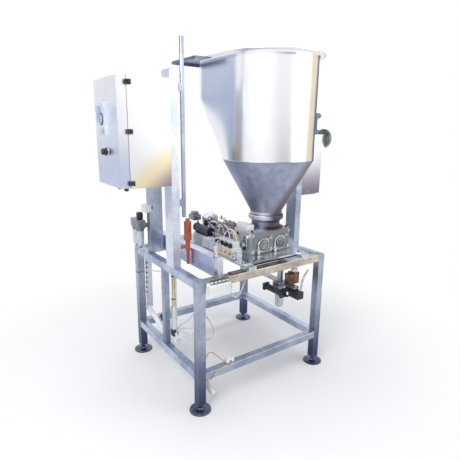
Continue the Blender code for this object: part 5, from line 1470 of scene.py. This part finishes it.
@dataclass
class AirFittings:
    """The ribbed speed dial, the air box's bracket, the filter bowls and the front manifold's plugs."""

    shop: Workshop
    dial_ribs: int = 40

    def build(self) -> None:
        """Makes the fittings of the air box, the filter and the manifold."""
        self._dial()
        self._box_bracket()
        self._filter()
        self._manifold()

    def _dial(self) -> None:
        """A dial whose rim swells between its ribs: r (1 + 0.02 sin(n a)), with a dished face and a hub."""
        low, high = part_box("speed_handwheel")
        _, y, z = centre_of(low, high)
        reach = (high.y - low.y) / 2
        profile = [(0.001, 0.0005), (reach * 0.55, 0.0005), (reach * 0.97, 0.004), (reach, 0.009),
                   (reach, 0.021), (reach * 0.95, 0.0265), (reach * 0.80, 0.0275), (reach * 0.76, 0.020),
                   (reach * 0.30, 0.018), (reach * 0.27, 0.0275), (0.001, 0.0279)]
        grid = turned_grid(profile, (low.x, y, z), (1, 0, 0), 4 * self.dial_ribs)
        centre = np.array([0.0, y, z])
        ripple = 1 - 0.02 * (1 + np.sin(np.arange(4 * self.dial_ribs) * math.pi / 2)) / 2
        away = grid - centre
        outer = np.asarray([radius > reach * 0.93 for radius, _ in profile])[:, None, None]
        scale = np.where(outer, ripple[None, :, None], 1.0) * np.array([0, 1, 1]) + np.array([1, 0, 0])
        dial = self.shop.piece("speed_dial", [capped(centre + away * scale)], Look.OLIVE,
                               body="speed_handwheel")
        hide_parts("speed_handwheel")
        marks = []
        for number in range(12):
            angle = number * math.pi / 6
            across, up = math.cos(angle), math.sin(angle)
            inner, outer_end = reach * 0.82, reach * 0.92
            marks.append(rod((high.x - 0.0006, y + inner * across, z + inner * up),
                             (high.x - 0.0006, y + outer_end * across, z + outer_end * up), 0.0006, 6,
                             0.0002))
        self.shop.piece("dial_marks", marks, Look.WHITE, body="speed_handwheel")

    def _box_bracket(self) -> None:
        """A small coupling and bracket on the air box's top, in front of the dial."""
        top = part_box("air_box")[1].z
        x, y = 1.110, 0.252
        parts = [rounded_box((x - 0.018, y - 0.016, top + 0.0006), (x + 0.022, y + 0.016, top + 0.034),
                             0.003), rod((x, y, top + 0.034), (x, y, top + 0.110), 0.012, 24),
                 rounded_box((x - 0.020, y - 0.016, top + 0.110), (x + 0.030, y + 0.016, top + 0.146), 0.005,
                             4), rod((x + 0.030, y, top + 0.128), (x + 0.046, y, top + 0.128), 0.009, 18)]
        self.shop.piece("air_box_coupling", parts, Look.COUPLING)
        screws = []
        low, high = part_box("air_box")
        for z in (low.z + 0.020, high.z - 0.020):
            screws.append(rod((low.x + 0.060, low.y + 0.0005, z), (low.x + 0.060, low.y - 0.0030, z), 0.006,
                              18))
        self.shop.piece("air_box_screws", screws, Look.MACHINED)

    def _filter(self) -> None:
        """Two grey heads on an arm, a clear bowl under each and a drain knob below it."""
        low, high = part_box("filter_unit")
        x = -0.030
        head_low = high.z - 0.060
        near, far = high.y - 0.105, high.y - 0.032
        heads = [rounded_box((x - 0.026, near - 0.036, head_low), (x + 0.026, near + 0.0355, high.z), 0.006,
                             4),
                 rounded_box((x - 0.026, far - 0.0365, head_low), (x + 0.026, high.y, high.z), 0.006, 4),
                 rounded_box((x + 0.002, low.y, head_low + 0.015), (high.x, near - 0.034, head_low + 0.045),
                             0.002)]
        body = self.shop.piece("filter_heads", heads, Look.GREY_HEAD)
        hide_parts("filter_unit")
        bowl = [(0.001, 0.0), (0.010, 0.0), (0.019, 0.008), (0.0235, 0.022), (0.024, 0.030), (0.024, 0.128),
                (0.001, 0.130)]
        rings, knobs, glass = [], [], []
        for y in (near, far):
            foot = low.z + 0.010
            glass.append(turned(bowl, (x, y, foot), (0, 0, 1), 40))
            rings.append(collar(0.0243, 0.0262, 0.018, (x, y, head_low - 0.0185)))
            knobs.append(rod((x, y, foot), (x, y, low.z), 0.0085, 20))
        self.shop.piece("filter_bowls", glass, Look.FROSTED)
        self.shop.piece("bowl_rings", rings, Look.GREY_HEAD)
        self.shop.piece("drain_knobs", knobs, Look.SLEEVE)
        white = [rounded_box((x - 0.022, far - 0.225, 1.112), (x + 0.022, far - 0.155, 1.160), 0.006, 4)]
        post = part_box("rear_post")[0]
        arm = [rounded_box((x + 0.018, far - 0.205, 1.128), (post.x + 0.012, post.y - 0.0006, 1.146), 0.002)]
        self.shop.piece("pressure_switch", white, Look.WHITE)
        self.shop.piece("pressure_switch_arm", arm, Look.DARK_STEEL)

    def _manifold(self) -> None:
        """Black sockets and teal push-in fittings on the manifold, an elbow, and a fitting on the beam."""
        low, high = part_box("front_manifold")
        top = high.z - 0.022
        caps, push = [], []
        row_y = low.y + 0.042
        for number in range(5):
            x = low.x + 0.019 + 0.025 * number
            caps.append(collar(0.0045, 0.0092, 0.0055, (x, low.y + 0.020, high.z - 0.0042), sides=24))
            caps.append(collar(0.0083, 0.0105, 0.004, (x, low.y + 0.020, top + 0.0003), sides=24))
        for number in range(4):
            x = low.x + 0.030 + 0.026 * number
            push.append(rod((x, row_y, top + 0.0003), (x, row_y, top + 0.013), 0.0085, 20))
            push.append(rod((x, row_y, top + 0.013), (x, row_y, top + 0.017), 0.0062, 20))
        self.shop.piece("manifold_caps", caps, Look.BLACK)
        self.shop.piece("manifold_push_fittings", push, Look.TEAL)
        bend = smooth_path([(high.x, -0.055, 0.780), (high.x + 0.012, -0.053, 0.778),
                            (high.x + 0.020, -0.046, 0.768), (high.x + 0.023, -0.040, 0.754)], 20)
        self.shop.piece("manifold_elbow", [tube(bend, 0.0095, 16)], Look.WHITE)
        x, y = 0.127, 0.030
        stub = [hexagon((x, y, 0.9356), (x, y, 0.946), 0.012), rod((x, y, 0.946), (x, y, 0.988), 0.0095, 20),
                rod((x, y, 0.988), (x, y, 0.996), 0.012, 20)]
        self.shop.piece("beam_fitting", stub, Look.LAVENDER)


# --------------------------------------------------------------------------- pipes and hoses


@dataclass
class LowerPipes:
    """The supply pipe, its reducers, the waste pipe, the elbow and the connector at the lower left."""

    shop: Workshop
    x: float = 0.055
    y: float = 0.430

    def build(self) -> None:
        """Makes the rigid plastic pipes."""
        x, y = self.x, self.y
        thin = [rod((x, y, 0.475), (x, y, 0.7725), 0.010, 24)]
        self.shop.piece("supply_pipe_thin", thin, Look.CREAM)
        wide = [rod((x, y, 0.332), (x, y, 0.480), 0.017, 28), rod((x, y, 0.470), (x, y, 0.490), 0.0195, 28),
                rod((x + 0.020, y + 0.004, 0.345), (x + 0.020, y + 0.004, 0.7725), 0.008, 20)]
        self.shop.piece("supply_pipe_wide", wide, Look.WHITE)
        ties = [collar(0.0103, 0.0135, 0.006, (x, y, z), sides=24) for z in (0.705, 0.545)]
        self.shop.piece("supply_pipe_ties", ties, Look.BLACK)
        junction = [rounded_box((x - 0.016, y - 0.020, 0.280), (x + 0.026, y + 0.022, 0.332), 0.006, 4)]
        self.shop.piece("supply_junction", junction, Look.TEAL)
        waste = smooth_path([(0.042, 0.800, 0.345), (0.040, 0.700, 0.318), (0.040, 0.600, 0.290),
                             (0.040, 0.505, 0.268)], 30)
        end = waste[0]
        cap = turned([(0.001, 0.0), (0.0225, 0.0), (0.0225, 0.024), (0.020, 0.027), (0.001, 0.027)],
                     tuple(end + (0.0, 0.006, 0.002)), (0.02, 1.0, 0.27), 32)
        self.shop.piece("waste_pipe", [tube(waste, 0.0175, 28), cap], Look.WHITE)
        corrugated = np.linspace(0, 1, 64)
        start, stop = np.array([0.066, 0.640, 0.345]), np.array([0.062, 0.560, 0.300])
        line = start + corrugated[:, None] * (stop - start)
        swell = 0.0125 + 0.003 * np.sin(corrugated * 2 * math.pi * 8)
        self.shop.piece("corrugated_sleeve", [tube(line, swell, 20)], Look.BLACK)
        angle = np.linspace(-0.25 * math.pi, 1.15 * math.pi, 40)
        centre = np.array([0.060, 0.362, 0.274])
        across, up = np.array([0.80, -0.60, 0.0]), np.array([0.0, 0.0, 1.0])
        hoop = centre + 0.027 * (np.cos(angle)[:, None] * across + np.sin(angle)[:, None] * up)
        self.shop.piece("drain_elbow", [pipe(hoop, 0.0105, 0.002, 18)], Look.WHITE)
        foot = smooth_path([(0.060, 0.394, 0.292), (0.058, 0.408, 0.298), (0.056, 0.424, 0.300)], 16)
        self.shop.piece("drain_neck", [tube(foot, 0.0095, 18)], Look.WHITE)
        stub = pipe(smooth_path([(0.068, 0.120, 0.135), (0.083, 0.055, 0.108), (0.096, -0.012, 0.070)], 24),
                    0.0205, 0.003, 28)
        self.shop.piece("drain_outlet", [stub], Look.WHITE)
        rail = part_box("lower_rail_front")[1].z
        plug = [rounded_box((0.185, -0.012, rail + 0.0006), (0.240, 0.022, rail + 0.028), 0.004, 4),
                rounded_box((0.193, -0.006, rail + 0.028), (0.215, 0.018, rail + 0.040), 0.004, 4),
                rounded_box((0.222, -0.006, rail + 0.026), (0.234, 0.018, rail + 0.034), 0.002)]
        self.shop.piece("cable_connector", plug, Look.WHITE)
        mouth = [rod((0.212, -0.0115, rail + 0.012), (0.212, -0.0145, rail + 0.012), 0.0055, 16)]
        self.shop.piece("connector_mouth", mouth, Look.BLACK)


@dataclass
class Hoses:
    """Every free hose and cable, each on one smooth line from fitting to fitting."""

    shop: Workshop

    def build(self) -> None:
        """Makes the hoses; each is as long as its route."""
        self._bank_hoses()
        self._front_hoses()
        self._lower_hoses()
        self._cables()

    def _bank_hoses(self) -> None:
        """Four hoses that arch from the valve bank back to fittings on the plate."""
        looks = (Look.YELLOW_HOSE, Look.PINK_HOSE, Look.HOSE, Look.BROWN_HOSE)
        deck = 0.9405
        for number, look in enumerate(looks):
            x, y, lean, end = 0.382, 0.157 + 0.048 * number, 0.006 * number, 0.345 + 0.042 * number
            self.shop.hose(f"bank_hose_{number}",
                           [(x, y, deck), (x, y + 0.004, deck + 0.030),
                            (x + 0.002, y + 0.034, deck + 0.064 + lean),
                            (x + 0.008, y + 0.090, deck + 0.072 + lean), (x + 0.014, y + 0.146, deck + 0.048),
                            (x + 0.020, end - 0.006, deck + 0.004), (x + 0.021, end, 0.905),
                            (x + 0.021, end, 0.866)], 0.0042, look)
        ends = [rod((0.403, y, 0.8494), (0.403, y, 0.8655), 0.0068, 20) for y in (0.345, 0.387, 0.429, 0.471)]
        self.shop.piece("plate_tube_fittings", ends, Look.BRASS)

    def _front_hoses(self) -> None:
        """The hoses between the bank, the rotor's air cylinder, the beam and the manifold."""
        self.shop.hose("actuator_hose",
                       [(0.372, 0.301, 0.9405), (0.376, 0.310, 0.975), (0.390, 0.345, 1.004),
                        (0.404, 0.410, 1.012), (0.418, 0.480, 1.014), (0.430, 0.540, 1.012),
                        (0.432, 0.570, 0.994), (0.432, 0.572, 0.962)], 0.0030, Look.HOSE)
        self.shop.hose("port_hose_left",
                       [(0.3120, 0.163, 0.884), (0.288, 0.160, 0.885), (0.252, 0.140, 0.902),
                        (0.216, 0.108, 0.946), (0.190, 0.080, 0.992), (0.162, 0.054, 1.018),
                        (0.139, 0.037, 1.015), (0.128, 0.031, 0.994), (0.127, 0.030, 0.960)], 0.0028,
                       Look.LAVENDER_HOSE)
        self.shop.hose("front_arch",
                       [(0.357, 0.120, 0.8500), (0.352, 0.116, 0.890), (0.347, 0.122, 0.950),
                        (0.348, 0.150, 1.010), (0.354, 0.196, 1.028), (0.360, 0.246, 1.012),
                        (0.362, 0.290, 0.970), (0.362, 0.318, 0.9185)], 0.0034, Look.HOSE)
        self.shop.hose("sleeve_cable",
                       [(0.113, 0.034, 0.9360), (0.112, 0.026, 0.960), (0.106, 0.000, 0.974),
                        (0.101, -0.028, 0.956), (0.098, -0.042, 0.918), (0.098, -0.047, 0.870),
                        (0.100, -0.048, 0.832)], 0.0032, Look.CREAM_HOSE)
        self.shop.hose("manifold_hose",
                       [(0.183, -0.040, 0.754), (0.188, -0.038, 0.728), (0.206, -0.033, 0.698),
                        (0.240, -0.024, 0.682), (0.278, -0.010, 0.694), (0.304, 0.002, 0.722),
                        (0.322, 0.010, 0.752), (0.330, 0.014, 0.7725)], 0.0040, Look.HOSE)

    def _lower_hoses(self) -> None:
        """Three hoses that fan out from one junction to the front left leg, each ending at its own height."""
        line = ((0.070, 0.380, 0.328, 0.2), (0.076, 0.300, 0.340, 0.45), (0.074, 0.200, 0.352, 0.85),
                (0.066, 0.110, 0.362, 1.1), (0.058, 0.050, 0.370, 1.25), (0.050, 0.032, 0.374, 1.3),
                (0.0290, 0.020, 0.376, 1.32))
        for number, height in enumerate((0.560, 0.448, 0.372)):
            rise = height - 0.36
            route = [(0.062, 0.418, 0.326 - 0.012 * number)]
            route += [(x, y, level + share * rise) for x, y, level, share in line]
            self.shop.hose(f"lower_hose_{number}", route, 0.0046, Look.HOSE, "stiff", "taut")

    def _cables(self) -> None:
        """The thin cables of the front left leg and of the connector on the lower rail."""
        self.shop.hose("hanging_cable",
                       [(0.0290, 0.004, 0.596), (0.046, 0.012, 0.594), (0.066, 0.026, 0.574),
                        (0.088, 0.030, 0.540), (0.106, 0.030, 0.500), (0.112, 0.028, 0.468),
                        (0.100, 0.022, 0.446), (0.076, 0.014, 0.440), (0.052, 0.008, 0.444),
                        (0.0290, 0.004, 0.448)], 0.0026, Look.PINK_HOSE, "medium", "hanging")
        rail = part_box("lower_rail_front")[1].z
        self.shop.hose("connector_cable",
                       [(0.185, 0.004, rail + 0.015), (0.168, 0.006, rail + 0.020),
                        (0.146, 0.020, rail + 0.042), (0.120, 0.040, rail + 0.070),
                        (0.090, 0.040, rail + 0.084), (0.062, 0.024, rail + 0.078),
                        (0.042, 0.012, rail + 0.066), (0.029, 0.008, rail + 0.060)], 0.0027, Look.YELLOW_HOSE,
                       "medium", "hanging")
        self.shop.hose("connector_loop",
                       [(0.212, -0.0145, rail + 0.012), (0.208, -0.030, rail + 0.013),
                        (0.190, -0.042, rail + 0.016), (0.164, -0.043, rail + 0.016),
                        (0.132, -0.036, rail + 0.014), (0.098, -0.032, rail - 0.010),
                        (0.070, -0.030, rail - 0.042), (0.040, -0.0285, rail - 0.060)], 0.0024,
                       Look.YELLOW_HOSE, "medium", "hanging")


# --------------------------------------------------------------------------- whole machine

DRESS = {Look.FRAME_UPRIGHT: ("leg_front_left", "leg_front_right", "leg_rear_left", "leg_rear_right",
                              "mid_upright", "box_post", "rear_post", "mast"), Look.POST: ("cabinet_post",),
         Look.BEAM: ("side_beam",),
         Look.FRAME_ACROSS: ("top_rail_rear", "lower_rail_rear", "lower_rail_front"),
         Look.FRAME_DEEP: ("top_rail_left", "top_rail_right"),
         Look.LOW_RAIL: ("lower_rail_left", "lower_rail_right"), Look.FRONT_RAIL: ("top_rail_front",),
         Look.RIM: ("rim_tray",),
         Look.NECK: ("neck_clamp", "air_cylinder_left", "air_cylinder_right", "speed_handwheel"),
         Look.CABINET: ("cabinet_door",), Look.CABINET_BODY: ("cabinet_body",),
         Look.AIR_BOX: ("air_box", "air_box_door"), Look.BLOCK: ("pump_block",),
         Look.NOZZLE: ("nozzle_body",),
         Look.MACHINED: ("product_cylinder_left", "product_cylinder_right", "piston_left", "piston_right",
                         "rod_left", "rod_right", "valve_rotor", "valve_plunger", "bore_cover_left",
                         "bore_cover_right", "foot_front_left", "foot_front_right", "foot_rear_left",
                         "foot_rear_right"), Look.CHROME: ("shutoff_lever",),
         Look.DARK_STEEL: ("door_clamp_lower", "door_clamp_middle", "door_clamp_upper"),
         Look.PLATE: ("base_plate",), Look.NAVY: ("valve_actuator",),
         Look.BLACK: ("selector_knob", "disconnect_handle", "filter_knob"),
         Look.WHITE: ("front_manifold", "valve_bank"), Look.FROSTED: ("filter_unit", "nozzle_cup"),
         Look.SLEEVE: ("drip_sleeve",), Look.PANEL: ("back_panel",)}


def main() -> None:
    """Loads the frame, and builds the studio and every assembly."""
    logging.basicConfig(level=logging.INFO, format="%(name)s %(message)s")
    bpy.context.scene.view_settings.view_transform = "Standard"
    for startup in list(bpy.data.objects):
        bpy.data.objects.remove(startup)
    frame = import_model()
    Studio().build()
    shop = Workshop()
    for look, names in DRESS.items():
        for name in names:
            shop.dress(frame["nodes"][name], look)
    Hoses(shop).build()
    FrameTrim(shop).build()
    Hopper(shop).build()
    CabinetFittings(shop).build()
    PumpFittings(shop).build()
    NozzleFittings(shop).build()
    AirFittings(shop).build()
    LowerPipes(shop).build()
    LOG.info("%d pieces made", shop.count)


if __name__ == "__main__":
    main()
